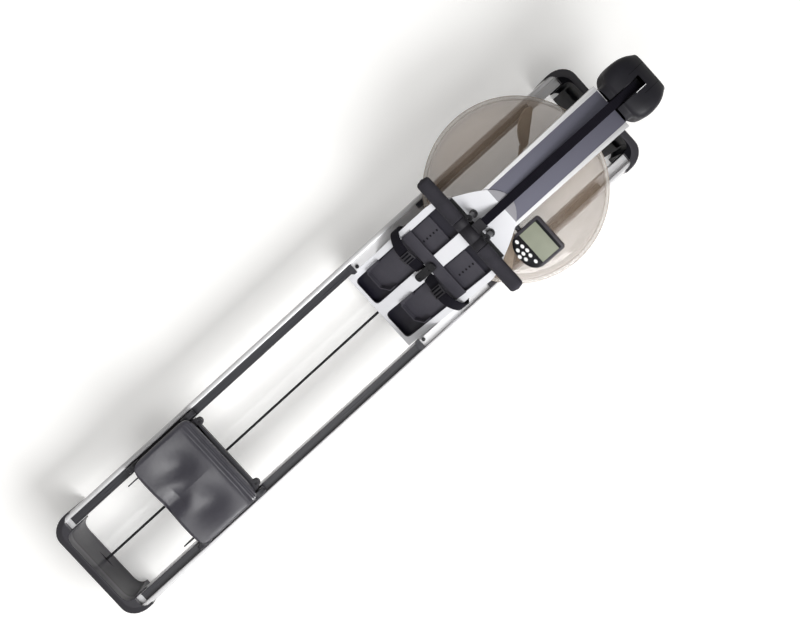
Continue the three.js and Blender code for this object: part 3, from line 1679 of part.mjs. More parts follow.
function monitorBracket() {
  const halfAt = armRearHalf + (armFrontHalf - armRearHalf) * (pinX + bracketHalf - armRear) / (armFront - armRear);
  const wallY = -halfAt - gap;
  const faceY = caseSideY + knuckleLength + gap;
  const plate = block(pinX - bracketHalf, pinX + bracketHalf, wallY - bracketPlate, wallY,
    pinZ - bracketHalf * 2, pinZ + bracketHalf);
  const boss = rodY(knuckleRadius, pinX, pinZ, faceY, wallY - gap, 20);
  const pin = rodY(pinRadius, pinX, pinZ, faceY - gap - pinReach, wallY - gap, 16);
  return join(plate, boss, pin);
}

// Assembly

add('left_rail', leftRail(), 'aluminium');
add('right_rail', mirrored(leftRail()), 'aluminium');
add('left_track', leftTrack(), 'trackPlastic');
add('right_track', mirrored(leftTrack()), 'trackPlastic');
add('rear_end_cap', rearCap(), 'blackPlastic');
add('front_end_cap', frontCap(), 'blackPlastic');
add('rear_floor_pad', floorPad(rearCapFace, 1), 'rubber');
add('front_floor_pad', floorPad(frontCapFace, -1), 'rubber');
add('left_tank_cradle', leftCradle(), 'blackPlastic');
add('right_tank_cradle', mirrored(leftCradle()), 'blackPlastic');

add('footboard', footboard(), 'whitePaint');
add('left_foot_tray', leftTray(), 'blackPlastic');
add('right_foot_tray', mirrored(leftTray()), 'blackPlastic');
add('left_foot_plate', footPlate(plateRearLeft, 1), 'footPlate');
add('right_foot_plate', footPlate(plateRearRight, -1), 'footPlate');
add('foot_bar', footBar(), 'blackPlastic');
add('strap_clip', strapClip(), 'blackPlastic');
add('left_foot_strap', leftFootStrap(), 'webbing');
add('right_foot_strap', mirrored(leftFootStrap()), 'webbing');
add('left_ladder_buckle', leftBuckle(), 'blackPlastic');
add('right_ladder_buckle', mirrored(leftBuckle()), 'blackPlastic');

function boardBolt() {
  const y = railInner + boardBoltInset;
  const head = rodZ(boardBoltHead, boardBoltX, y, railLedge + gap, railLedge + gap + boardBoltHeadHeight, 6);
  const shank = rodZ(boardBoltShank, boardBoltX, y, railLedge - boardBoltReach, railLedge + over / 2, 12);
  return join(head, shank);
}

add('left_board_bolt', boardBolt(), 'steel');
add('right_board_bolt', mirrored(boardBolt()), 'steel');

add('handle_rest', restStrip(), 'rubber');
add('left_rest_post', leftPost(), 'blackPlastic');
add('right_rest_post', mirrored(leftPost()), 'blackPlastic');
add('handle_bar', handleBar(), 'blackPlastic');
add('left_grip', leftGrip(), 'foam');
add('right_grip', mirrored(leftGrip()), 'foam');
add('strap_end_clip', strapEnd(), 'blackPlastic');
add('pull_strap', pullStrap(), 'webbing');

add('arm_beam', armBeam(), 'aluminium');
add('arm_panel', armPanel(), 'panel');
add('arm_upright', armUpright(), 'blackPlastic');
add('pulley_housing', pulleyHousing(), 'blackPlastic');
add('pulley_axle', axlePin(), 'steel');
add('front_pulley', frontPulley(), 'blackPlastic').position.set(pulleyX, 0, pulleyZ);

add('tank_base', tankBaseShell(), 'smoke').position.set(tankX, 0, 0);
add('tank_cover', tankCoverShell(), 'smoke').position.set(tankX, 0, 0);
add('paddle', paddle(), 'paddle').position.set(tankX, 0, 0);
add('strap_spool', strapSpool(), 'blackPlastic').position.set(tankX, 0, 0);
add('recoil_cord', recoilCord(), 'webbing');

add('seat_pad', seatPad(), 'seatSkin');
add('seat_frame', seatFrame(), 'blackPlastic');
for (const [side, y] of [['left', trackMid], ['right', -trackMid]]) {
  add(`rear_${side}_roller`, roller(), 'trackPlastic').position.set(rollerRear, y, rollerZ);
  add(`front_${side}_roller`, roller(), 'trackPlastic').position.set(rollerFront, y, rollerZ);
}

add('monitor_bracket', monitorBracket(), 'blackPlastic');
const monitor = new THREE.Group();
monitor.position.set(monitorX, monitorY, monitorZ);
monitor.rotation.y = -monitorTilt;
machine.add(monitor);
add('monitor_case', monitorCase(), 'blackPlastic', monitor);
add('monitor_screen', monitorLens(), 'screen', monitor);
buttonPlaces.forEach(([x, y], i) => {
  add(`monitor_button_${i + 1}`, button(), 'whitePlastic', monitor).position.set(x, y, buttonProud);
});

export default machine;
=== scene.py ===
import math

import bmesh
import bpy
from mathutils import Matrix, Vector


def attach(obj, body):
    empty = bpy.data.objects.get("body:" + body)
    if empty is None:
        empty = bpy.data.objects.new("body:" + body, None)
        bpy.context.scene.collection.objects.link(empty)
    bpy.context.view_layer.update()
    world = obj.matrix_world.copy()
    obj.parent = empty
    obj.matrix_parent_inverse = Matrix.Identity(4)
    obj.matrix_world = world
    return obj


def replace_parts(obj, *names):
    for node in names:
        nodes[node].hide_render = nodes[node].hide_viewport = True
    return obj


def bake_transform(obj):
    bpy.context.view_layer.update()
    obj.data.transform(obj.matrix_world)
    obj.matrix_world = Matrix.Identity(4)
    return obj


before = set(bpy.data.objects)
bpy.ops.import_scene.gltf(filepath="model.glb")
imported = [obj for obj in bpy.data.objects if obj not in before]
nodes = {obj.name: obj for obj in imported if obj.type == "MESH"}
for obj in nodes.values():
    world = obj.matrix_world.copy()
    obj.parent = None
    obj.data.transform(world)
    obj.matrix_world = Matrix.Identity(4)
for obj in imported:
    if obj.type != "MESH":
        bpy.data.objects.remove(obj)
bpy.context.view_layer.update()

MM = 0.001
GAP = 0.3 * MM
TANK_CENTRE = 0.6

# Camera: the photograph's viewing angle, from nearly straight above

LENS = 56.105
CAMERA_PLACE = Vector((0.1141, 0.1242, 3.8597))
CAMERA_RIGHT = Vector((0.73945651, -0.67247952, 0.03123077))
CAMERA_UP = Vector((0.67320425, 0.73868217, -0.03383314))
CAMERA_LOOK = Vector((0.00031752, -0.04604282, -0.99893942))

camera_data = bpy.data.cameras.new("camera")
camera_data.lens = LENS
camera_data.sensor_width = 36.0
camera_data.clip_start = 0.05
camera_data.clip_end = 60.0
camera = bpy.data.objects.new("camera", camera_data)
bpy.context.scene.collection.objects.link(camera)
turn = Matrix((CAMERA_RIGHT, CAMERA_UP, -CAMERA_LOOK)).transposed().to_4x4()
camera.matrix_world = Matrix.Translation(CAMERA_PLACE) @ turn
bpy.context.scene.camera = camera


# Node helpers for the materials

class Look:
    """A material with one principled shader, and the few kinds of node that the looks here are made of."""

    def __init__(self, name, rough=0.5, metal=0.0, specular=0.5):
        self.material = bpy.data.materials.new(name)
        self.material.use_nodes = True
        self.tree = self.material.node_tree
        self.shader = self.tree.nodes["Principled BSDF"]
        self.set("Roughness", rough)
        self.set("Metallic", metal)
        self.set("Specular IOR Level", specular)

    def set(self, socket, value):
        self.shader.inputs[socket].default_value = value

    def node(self, kind, **values):
        made = self.tree.nodes.new(kind)
        for key, value in values.items():
            setattr(made, key, value)
        return made

    def link(self, a, b):
        self.tree.links.new(a, b)

    def place(self, scale=(1, 1, 1), source="Object", rotation=(0, 0, 0)):
        coords = self.node("ShaderNodeTexCoord")
        mapping = self.node("ShaderNodeMapping")
        mapping.inputs["Scale"].default_value = scale
        mapping.inputs["Rotation"].default_value = rotation
        self.link(coords.outputs[source], mapping.inputs["Vector"])
        return mapping.outputs["Vector"]

    def noise(self, where, scale, detail=4.0, rough=0.55):
        made = self.node("ShaderNodeTexNoise")
        made.inputs["Scale"].default_value = scale
        made.inputs["Detail"].default_value = detail
        made.inputs["Roughness"].default_value = rough
        self.link(where, made.inputs["Vector"])
        return made.outputs["Fac"]

    def cells(self, where, scale):
        made = self.node("ShaderNodeTexVoronoi", feature="F1")
        made.inputs["Scale"].default_value = scale
        self.link(where, made.inputs["Vector"])
        return made.outputs["Distance"]

    def wave(self, where, scale, direction="X", distortion=0.0):
        made = self.node("ShaderNodeTexWave", bands_direction=direction, wave_profile="SIN")
        made.inputs["Scale"].default_value = scale
        made.inputs["Distortion"].default_value = distortion
        self.link(where, made.inputs["Vector"])
        return made.outputs["Fac"]

    def ramp(self, value, stops):
        made = self.node("ShaderNodeValToRGB")
        band = made.color_ramp
        while len(band.elements) < len(stops):
            band.elements.new(0.5)
        for element, (at, colour) in zip(band.elements, stops):
            element.position = at
            element.color = (*colour, 1) if len(colour) == 3 else colour
        self.link(value, made.inputs["Fac"])
        return made.outputs["Color"]

    def levels(self, value, low, high, start=0.0, end=1.0):
        made = self.node("ShaderNodeMapRange")
        made.inputs["From Min"].default_value = start
        made.inputs["From Max"].default_value = end
        made.inputs["To Min"].default_value = low
        made.inputs["To Max"].default_value = high
        self.link(value, made.inputs["Value"])
        return made.outputs["Result"]

    def maths(self, operation, *values):
        """One maths node on sockets or numbers."""
        made = self.node("ShaderNodeMath", operation=operation)
        for socket, value in zip(made.inputs, values):
            if isinstance(value, (int, float)):
                socket.default_value = value
            else:
                self.link(value, socket)
        return made.outputs[0]

    def times(self, a, b):
        return self.maths("MULTIPLY", a, b)

    def sum(self, a, b, share=0.5):
        return self.maths("ADD", a, self.times(b, share))

    def axes(self, where):
        split = self.node("ShaderNodeSeparateXYZ")
        self.link(where, split.inputs[0])
        return split.outputs

    def length(self, x, y):
        """Length of the flat vector (x, y)."""
        flat = self.node("ShaderNodeCombineXYZ")
        self.link(x, flat.inputs[0])
        self.link(y, flat.inputs[1])
        made = self.node("ShaderNodeVectorMath", operation="LENGTH")
        self.link(flat.outputs[0], made.inputs[0])
        return made.outputs["Value"]

    def step(self, value, start, end):
        """Rises from 0 to 1 between start and end."""
        return self.levels(value, 0.0, 1.0, start, end)

    def fall(self, value, start, end):
        """Falls from 1 to 0 between start and end."""
        return self.levels(value, 1.0, 0.0, start, end)

    def mix(self, share, a, b):
        made = self.node("ShaderNodeMix", data_type="RGBA", blend_type="MIX")
        self.link(share, made.inputs[0])
        for socket, value in ((made.inputs[6], a), (made.inputs[7], b)):
            if isinstance(value, tuple):
                socket.default_value = (*value, 1)
            else:
                self.link(value, socket)
        return made.outputs[2]

    def bump(self, height, distance, strength=1.0, after=None):
        made = self.node("ShaderNodeBump")
        made.inputs["Distance"].default_value = distance
        made.inputs["Strength"].default_value = strength
        self.link(height, made.inputs["Height"])
        if after is not None:
            self.link(after, made.inputs["Normal"])
        self.link(made.outputs["Normal"], self.shader.inputs["Normal"])
        return made.outputs["Normal"]

    def colour(self, socket):
        self.link(socket, self.shader.inputs["Base Color"])

    def roughness(self, socket):
        self.link(socket, self.shader.inputs["Roughness"])


def brushed_aluminium():
    look = Look("brushed_aluminium", 0.42, 0.72)
    streaks = look.noise(look.place((5, 420, 420)), 1.0, 5.0)
    clouds = look.noise(look.place((1.2, 6, 6)), 2.0, 3.0)
    value = look.sum(streaks, clouds, 0.6)
    look.colour(look.ramp(value, [(0.45, (0.66, 0.66, 0.67)), (1.1, (0.80, 0.80, 0.81))]))
    look.roughness(look.levels(value, 0.34, 0.52, 0.4, 1.2))
    look.bump(streaks, 0.00004, 0.5)
    return look.material


def moulded_plastic(name, dark, light, rough=(0.40, 0.56), grain=0.00010, scale=900.0, specular=0.5):
    look = Look(name, 0.5, specular=specular)
    where = look.place()
    fine = look.noise(where, scale, 3.0, 0.6)
    wide = look.noise(where, 9.0, 4.0)
    look.colour(look.ramp(wide, [(0.35, dark), (0.65, light)]))
    look.roughness(look.levels(wide, *rough, 0.3, 0.7))
    look.bump(fine, grain, 0.55)
    return look.material


# The end caps' plan, in metres: both caps' outer faces lie this far from a common middle
CAP_MIDDLE_X = -0.05
CAP_HALF_X = 1.012
CAP_HALF_Y = 0.1825
CAP_CORNER = 0.062


def cap_plastic():
    """Cap plastic: the rim is shaded as a crown by a bump. Where it meets the inner wall, a fine dark line is
    painted shade in a groove, and a lighter band above it along the wall's top is a painted highlight. Inside the
    front cap the wall is painted near black as shade, and reflects less.
    """
    look = Look("cap_plastic", 0.36)
    where = look.place()
    x, y, z = look.axes(where)
    past = [
        look.maths("MAXIMUM", look.maths("SUBTRACT", look.maths("ABSOLUTE", off), half - CAP_CORNER), 0.0)
        for off, half in ((look.maths("SUBTRACT", x, CAP_MIDDLE_X), CAP_HALF_X), (y, CAP_HALF_Y))
    ]
    reach = look.length(*past)
    wide = look.noise(where, 9.0, 4.0)
    base = look.ramp(wide, [(0.35, (0.028, 0.027, 0.033)), (0.65, (0.038, 0.036, 0.044))])
    inner = look.fall(reach, 0.0412, 0.0418)
    # A thin dark line on the inner wall, painted as the shade in a groove
    groove = look.times(inner, look.times(look.step(z, 0.173, 0.176), look.fall(z, 0.182, 0.185)))
    wall_top = look.times(look.step(z, 0.184, 0.190), look.fall(z, 0.196, 0.212))
    # A lighter band along the top of the inner wall, painted as a highlight
    painted_highlight = look.times(inner, look.times(wall_top, 0.75))
    # The inside of the front cap, painted near black as shade
    front = look.times(inner, look.step(x, 0.0, 0.1))
    body = look.mix(front, look.mix(painted_highlight, base, (0.105, 0.102, 0.112)), (0.006, 0.006, 0.008))
    look.colour(look.mix(groove, body, (0.004, 0.004, 0.006)))
    look.link(look.levels(front, 0.5, 0.06), look.shader.inputs["Specular IOR Level"])
    look.roughness(look.levels(wide, 0.30, 0.42, 0.3, 0.7))
    crown = look.bump(look.fall(reach, 0.047, 0.0635), 0.0075, 1.0)
    look.bump(look.noise(where, 900.0, 3.0, 0.6), 0.00008, 0.5, crown)
    return look.material


def track_plastic():
    look = Look("track_plastic", 0.34)
    where = look.place()
    run = look.noise(look.place((3, 260, 40)), 1.0, 4.0)
    wide = look.noise(where, 6.0, 3.0)
    look.colour(look.mix(look.levels(run, 0.0, 0.55, 0.4, 0.7), (0.030, 0.030, 0.036), (0.055, 0.054, 0.060)))
    look.roughness(look.levels(look.sum(run, wide), 0.24, 0.44, 0.5, 1.0))
    look.bump(run, 0.00006, 0.4)
    return look.material


def rubber():
    look = Look("rubber", 0.85)
    where = look.place()
    fine = look.noise(where, 1400.0, 2.0)
    wide = look.noise(where, 18.0, 4.0)
    look.colour(look.ramp(wide, [(0.3, (0.012, 0.012, 0.013)), (0.7, (0.022, 0.022, 0.024))]))
    look.roughness(look.levels(wide, 0.75, 0.95, 0.3, 0.7))
    look.bump(fine, 0.00012, 0.6)
    return look.material


TONGUE_START = 0.518


def white_paint():
    """White paint. The board's tongue, which lies on the arm, is painted greyer as shade."""
    look = Look("white_paint", 0.38)
    where = look.place()
    peel = look.noise(where, 420.0, 2.0, 0.4)
    wide = look.noise(where, 3.5, 4.0)
    paint = look.ramp(wide, [(0.3, (0.745, 0.75, 0.785)), (0.7, (0.78, 0.785, 0.815))])
    # The tongue beyond TONGUE_START is painted grey as shade
    tongue = look.step(look.axes(where)["X"], TONGUE_START, TONGUE_START + 0.0006)
    look.colour(look.mix(tongue, paint, (0.29, 0.285, 0.31)))
    look.roughness(look.levels(wide, 0.34, 0.44, 0.3, 0.7))
    look.bump(peel, 0.00008, 0.35)
    return look.material


def foot_rubber():
    look = Look("foot_plate_plastic", 0.6)
    where = look.place()
    fine = look.noise(where, 700.0, 3.0, 0.65)
    wide = look.noise(where, 14.0, 4.0)
    look.colour(look.ramp(wide, [(0.3, (0.040, 0.038, 0.050)), (0.7, (0.052, 0.049, 0.062))]))
    look.roughness(look.levels(fine, 0.52, 0.74, 0.3, 0.7))
    look.bump(fine, 0.00018, 0.6)
    return look.material


def webbing():
    """Woven strap: the UV map holds the place across and along the strap in metres."""
    look = Look("webbing", 0.85, specular=0.06)
    where = look.place(source="UV")
    ribs = look.wave(where, 52.0, "Y")
    cords = look.wave(where, 86.0, "X")
    weave = look.times(ribs, look.times(cords, 0.6))
    fuzz = look.noise(where, 1800.0, 2.0)
    height = look.sum(weave, fuzz, 0.25)
    wide = look.noise(where, 30.0, 3.0)
    look.colour(look.ramp(look.sum(weave, wide), [(0.1, (0.0035, 0.003, 0.006)), (0.8, (0.010, 0.009, 0.014))]))
    look.roughness(look.levels(fuzz, 0.72, 0.92, 0.3, 0.7))
    look.bump(height, 0.00035, 0.7)
    look.set("Sheen Weight", 0.06)
    return look.material


def cord_braid():
    """Braided cover: the UV map turns once round the cord and runs along it in metres."""
    look = Look("cord_braid", 0.8, specular=0.3)
    strands = [look.wave(look.place((6.0, along, 1), "UV", (0, 0, 0.9)), 1.0, "DIAGONAL") for along in (62.0, -62.0)]
    braid = look.times(*strands)
    look.colour(look.ramp(braid, [(0.0, (0.012, 0.012, 0.014)), (0.9, (0.035, 0.034, 0.038))]))
    look.bump(braid, 0.0005, 0.7)
    return look.material


def arm_paint():
    look = Look("metallic_paint", 0.34, 0.55)
    flakes = look.cells(look.place(), 2600.0)
    wide = look.noise(look.place((0.8, 3, 3)), 2.0, 3.0)
    look.colour(look.mix(look.levels(flakes, 0.0, 0.35, 0.0, 0.6), (0.135, 0.135, 0.175), (0.165, 0.165, 0.210)))
    look.roughness(look.levels(wide, 0.28, 0.40, 0.3, 0.7))
    look.bump(flakes, 0.00002, 0.3)
    return look.material


def greys(stops):
    return [(at, (level, level, level)) for at, level in stops]


def smoked_clear(name, alpha):
    """Clear tinted plastic. The flange, far from the tank's centre line, is painted paler and more opaque as a
    highlight along it, and the alpha is denser in thin lines at the wall and at the flange's outer edge.
    """
    look = Look(name, 0.06, specular=0.7)
    where = look.place()
    x, y, _ = look.axes(where)
    rim = look.step(look.length(look.maths("SUBTRACT", x, TANK_CENTRE), y), 0.240, 0.272)
    clouds = look.noise(where, 4.0, 4.0)
    tint = look.ramp(clouds, [(0.35, (0.30, 0.225, 0.165)), (0.65, (0.38, 0.29, 0.22))])
    # The flange band is painted pale as a highlight
    pale = look.ramp(rim, greys([(0.0, 0.0), (0.52, 0.0), (0.60, 0.8), (0.80, 0.8), (0.87, 0.1)]))
    look.colour(look.mix(pale, tint, (0.80, 0.77, 0.72)))
    denser = [(0.0, 1.0), (0.50, 1.05), (0.545, 1.9), (0.58, 1.3), (0.80, 1.3), (0.86, 2.6)]
    rim_alpha = look.ramp(rim, greys([(at, alpha * times) for at, times in denser]))
    look.link(rim_alpha, look.shader.inputs["Alpha"])
    look.bump(clouds, 0.0012, 0.3)
    look.roughness(look.levels(look.noise(where, 40.0, 4.0), 0.05, 0.12, 0.3, 0.7))
    return look.material


def paddle_plastic():
    look = Look("paddle_plastic", 0.45)
    where = look.place()
    wide = look.noise(where, 12.0, 5.0)
    look.colour(look.ramp(wide, [(0.3, (0.34, 0.28, 0.22)), (0.7, (0.42, 0.35, 0.27))]))
    look.roughness(look.levels(wide, 0.36, 0.55, 0.3, 0.7))
    look.bump(look.noise(where, 500.0, 2.0), 0.0001, 0.4)
    return look.material


def steel():
    look = Look("machined_steel", 0.3, 0.95)
    turn_marks = look.wave(look.place(), 900.0, "Z", 2.0)
    wide = look.noise(look.place(), 60.0, 3.0)
    look.colour(look.ramp(wide, [(0.3, (0.42, 0.42, 0.44)), (0.7, (0.55, 0.55, 0.57))]))
    look.roughness(look.levels(wide, 0.22, 0.38, 0.3, 0.7))
    look.bump(turn_marks, 0.00002, 0.4)
    return look.material


def seat_skin():
    look = Look("seat_skin", 0.24, specular=0.7)
    where = look.place()
    grain = look.cells(where, 1500.0)
    wide = look.noise(where, 11.0, 4.0)
    look.colour(look.ramp(wide, [(0.3, (0.017, 0.016, 0.026)), (0.7, (0.027, 0.025, 0.038))]))
    look.roughness(look.levels(wide, 0.34, 0.46, 0.3, 0.7))
    soft = look.bump(look.noise(where, 13.0, 3.0, 0.5), 0.006, 0.5)
    look.bump(grain, 0.00005, 0.35, soft)
    look.set("Coat Weight", 0.85)
    look.set("Coat IOR", 1.65)
    look.set("Coat Roughness", 0.27)
    return look.material


def grip_foam():
    look = Look("grip_foam", 0.7)
    where = look.place()
    pores = look.cells(where, 1300.0)
    wide = look.noise(where, 25.0, 4.0)
    look.colour(look.ramp(wide, [(0.3, (0.013, 0.012, 0.018)), (0.7, (0.022, 0.020, 0.029))]))
    look.roughness(look.levels(pores, 0.6, 0.85, 0.0, 0.6))
    look.bump(pores, 0.0003, 0.6)
    return look.material


# The plan of the monitor's black face, in metres
FACE_FRONT = 0.565
FACE_MIDDLE_Y = -0.1413
FACE_HALF = 0.0495


def case_face():
    """Case plastic: a black glossy face inside a greyer rim, set out in the plan of the case."""
    look = Look("case_face", 0.3, specular=0.16)
    where = look.place()
    x, y, _ = look.axes(where)
    across = look.maths("ABSOLUTE", look.maths("SUBTRACT", y, FACE_MIDDLE_Y))
    sides = look.times(look.step(across, FACE_HALF, FACE_HALF + 0.001), look.step(x, 0.478, 0.500))
    rim = look.maths("MAXIMUM", look.step(x, FACE_FRONT, FACE_FRONT + 0.001), sides)
    wide = look.noise(where, 30.0, 3.0)
    grey = look.ramp(wide, [(0.3, (0.040, 0.037, 0.043)), (0.7, (0.052, 0.048, 0.056))])
    look.colour(look.mix(rim, (0.0035, 0.0035, 0.005), grey))
    look.roughness(look.levels(wide, 0.24, 0.36, 0.3, 0.7))
    look.bump(look.noise(where, 900.0, 3.0, 0.6), 0.00003, 0.4)
    return look.material


def display():
    look = Look("display_window", 0.16, specular=0.6)
    where = look.place()
    wide = look.noise(where, 9.0, 2.0)
    look.colour(look.ramp(wide, [(0.35, (0.18, 0.197, 0.138)), (0.65, (0.248, 0.265, 0.197))]))
    look.bump(look.noise(where, 1500.0, 1.0), 0.00001, 0.2)
    return look.material


ALUMINIUM = brushed_aluminium()
BLACK = moulded_plastic("black_plastic", (0.014, 0.013, 0.017), (0.022, 0.021, 0.026))
CAP_BLACK = cap_plastic()
DARK = moulded_plastic("tray_plastic", (0.006, 0.005, 0.012), (0.011, 0.010, 0.019), (0.42, 0.6))
HOUSING = moulded_plastic("housing_plastic", (0.009, 0.0088, 0.012), (0.015, 0.0146, 0.019), (0.36, 0.5), 0.00006,
                          specular=0.25)
HUB = moulded_plastic("hub_plastic", (0.013, 0.012, 0.016), (0.020, 0.019, 0.024), (0.6, 0.75), specular=0.3)
# Pale strips painted as highlights along edges
GLINT_STRIP = moulded_plastic("painted_highlight_strip", (0.70, 0.70, 0.71), (0.84, 0.84, 0.85), (0.3, 0.45), 0.00002)
# Near black for the parting lines, and painted as the shade in the foot plates' pin holes
SEAM_AND_HOLE_SHADE = moulded_plastic("seam_and_hole_shade", (0.004, 0.004, 0.005), (0.007, 0.007, 0.009), (0.6, 0.8), 0.00002, specular=0.1)
GLOSS_BLACK = moulded_plastic("case_plastic", (0.006, 0.006, 0.008), (0.010, 0.010, 0.012), (0.22, 0.32), 0.00004)
BUTTON = moulded_plastic("button_plastic", (0.80, 0.80, 0.81), (0.86, 0.86, 0.87), (0.35, 0.5), 0.00003)
TRACK = track_plastic()
RUBBER = rubber()
WHITE = white_paint()
FOOT = foot_rubber()
WEB = webbing()
CORD = cord_braid()
PANEL = arm_paint()
SMOKE_TOP = smoked_clear("smoked_cover", 0.23)
SMOKE_BASE = smoked_clear("smoked_base", 0.20)
PADDLE = paddle_plastic()
STEEL = steel()
SEAT = seat_skin()
FOAM = grip_foam()
DISPLAY = display()
CASE_FACE = case_face()


# Geometry helpers

def face_outwards(mesh):
    fix = bmesh.new()
    fix.from_mesh(mesh)
    bmesh.ops.recalc_face_normals(fix, faces=fix.faces)
    fix.to_mesh(mesh)
    fix.free()


def piece(name, verts, faces, material, body, smooth=True, uvs=None):
    """A new mesh piece, in metres, that rides on a body if one is named."""
    mesh = bpy.data.meshes.new(name)
    mesh.from_pydata([tuple(v) for v in verts], [], faces)
    mesh.update()
    made = bpy.data.objects.new(name, mesh)
    bpy.context.scene.collection.objects.link(made)
    mesh.materials.append(material)
    for polygon in mesh.polygons:
        polygon.use_smooth = smooth
    if uvs is not None:
        layer = mesh.uv_layers.new(name="UVMap")
        for loop in mesh.loops:
            layer.data[loop.index].uv = uvs[loop.vertex_index]
    face_outwards(mesh)
    if body:
        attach(made, body)
    return made


def rounded(made, width, segments=2, angle=35.0):
    bevel = made.modifiers.new("edges", "BEVEL")
    bevel.width = width
    bevel.segments = segments
    bevel.limit_method = "ANGLE"
    bevel.angle_limit = math.radians(angle)
    bevel.harden_normals = True


def tube_faces(rings, count):
    """Quads between neighbouring rings, each of count vertices."""
    return [
        (i * count + k, i * count + (k + 1) % count, (i + 1) * count + (k + 1) % count, (i + 1) * count + k)
        for i in range(rings - 1) for k in range(count)
    ]


def rod_faces(rings, count):
    """The skin of a rod made of rings of vertices, closed at both ends."""
    last = (rings - 1) * count
    return [*tube_faces(rings, count), tuple(range(count - 1, -1, -1)), tuple(range(last, last + count))]


def lathe(points, sides, centre=(0, 0, 0)):
    """Turns (radius, height) points about a vertical line. Points on the line become one vertex."""
    verts = []
    rings = []
    for r, z in points:
        if r < 1e-7:
            rings.append([len(verts)])
            verts.append((centre[0], centre[1], centre[2] + z))
            continue
        rings.append(list(range(len(verts), len(verts) + sides)))
        for k in range(sides):
            a = 2 * math.pi * k / sides
            verts.append((centre[0] + r * math.cos(a), centre[1] + r * math.sin(a), centre[2] + z))
    faces = []
    pairs = list(zip(rings, rings[1:]))
    if len(rings[0]) > 1:
        pairs.append((rings[-1], rings[0]))
    for low, high in pairs:
        for k in range(sides):
            n = (k + 1) % sides
            if len(low) == 1:
                faces.append((low[0], high[n], high[k]))
            elif len(high) == 1:
                faces.append((low[k], low[n], high[0]))
            else:
                faces.append((low[k], low[n], high[n], high[k]))
    return verts, faces


def square_reach(c, s, power):
    """How far a square with round corners reaches in the direction (c, s). A higher power is squarer."""
    return (abs(c) ** power + abs(s) ** power) ** (-1 / power)


def curve_points(p0, p1, p2, steps):
    """A curve from p0 to p2 that is pulled towards p1."""
    made = []
    for i in range(steps + 1):
        t = i / steps
        made.append(tuple((1 - t) ** 2 * a + 2 * t * (1 - t) * b + t * t * c for a, b, c in zip(p0, p1, p2)))
    return made


def ribbon(name, stations, half, gauge, body):
    """A woven strap laid along stations of (place, direction of its width), with rounded edges."""
    edge = gauge / 2
    steps = 8
    outline = []
    for side in (1, -1):
        outline += [(side * (2 * i / steps - 1) * (half - edge), side * edge) for i in range(steps + 1)]
        outline += [(side * (half - edge * 0.3), side * edge * 0.7), (side * half, 0.0),
                    (side * (half - edge * 0.3), -side * edge * 0.7)]
    verts = []
    uvs = []
    run = 0.0
    count = len(stations)
    for i, (at, wide) in enumerate(stations):
        before = stations[max(i - 1, 0)][0]
        after = stations[min(i + 1, count - 1)][0]
        ahead = (after - before).normalized()
        out = ahead.cross(wide).normalized()
        flat = out.cross(ahead).normalized()
        if i:
            run += (at - stations[i - 1][0]).length
        for w, h in outline:
            verts.append(at + flat * w + out * h)
            uvs.append((w, run))
    return piece(name, verts, rod_faces(count, len(outline)), WEB, body, uvs=uvs)


def tube(name, points, radius, sides, material, body):
    verts = []
    uvs = []
    run = 0.0
    side = None
    count = len(points)
    for i, at in enumerate(points):
        before = points[max(i - 1, 0)]
        after = points[min(i + 1, count - 1)]
        ahead = (after - before).normalized()
        if side is None:
            side = ahead.cross(Vector((0, 1, 0))).normalized()
        side = (side - ahead * side.dot(ahead)).normalized()
        up = ahead.cross(side)
        if i:
            run += (at - points[i - 1]).length
        for k in range(sides):
            a = 2 * math.pi * k / sides
            verts.append(at + side * radius * math.cos(a) + up * radius * math.sin(a))
            uvs.append((k / sides, run))
    return piece(name, verts, rod_faces(count, sides), material, body, uvs=uvs)


# Sizes of the model, in metres

BOARD_REAR = 75 * MM
BOARD_REAR_HEIGHT = 104 * MM
KNEE = (365 * MM, 394 * MM)
SLOPE = math.pi / 4
DECK = math.atan2(78, 153)
BEND = (518 * MM, KNEE[1] + 78 * MM)


def slope_place(along, out, across=0.0):
    return Vector((
        BOARD_REAR + along * math.cos(SLOPE) - out * math.sin(SLOPE),
        across,
        BOARD_REAR_HEIGHT + along * math.sin(SLOPE) + out * math.cos(SLOPE),
    ))


def deck_place(along, out, across=0.0):
    return Vector((
        KNEE[0] + along * math.cos(DECK) - out * math.sin(DECK),
        across,
        KNEE[1] + along * math.sin(DECK) + out * math.cos(DECK),
    ))


# Looks of the CAD nodes that stay

def smooth_group():
    """Geometry nodes that smooth a CAD node as it is shown, without its stored normals. Its mesh isn't changed."""
    group = bpy.data.node_groups.new("smooth", "GeometryNodeTree")
    for way in ("INPUT", "OUTPUT"):
        group.interface.new_socket("Geometry", in_out=way, socket_type="NodeSocketGeometry")
    first = group.nodes.new("NodeGroupInput")
    bare = group.nodes.new("GeometryNodeRemoveAttribute")
    bare.inputs["Name"].default_value = "custom_normal"
    soft = group.nodes.new("GeometryNodeSetShadeSmooth")
    last = group.nodes.new("NodeGroupOutput")
    for a, b in ((first, bare), (bare, soft), (soft, last)):
        group.links.new(a.outputs[0], b.inputs[0])
    return group


SMOOTH = smooth_group()


def dress(material, width, *names, segments=2, angle=35.0):
    """Gives CAD nodes their material and rounded edges."""
    for name in names:
        node = nodes[name]
        node.material_slots[0].material = material
        node.modifiers.new("smooth", "NODES").node_group = SMOOTH
        weld = node.modifiers.new("weld", "WELD")
        weld.merge_threshold = 0.02 * MM
        plane = node.modifiers.new("planes", "DECIMATE")
        plane.decimate_type = "DISSOLVE"
        plane.angle_limit = math.radians(0.6)
        rounded(node, width, segments, angle)


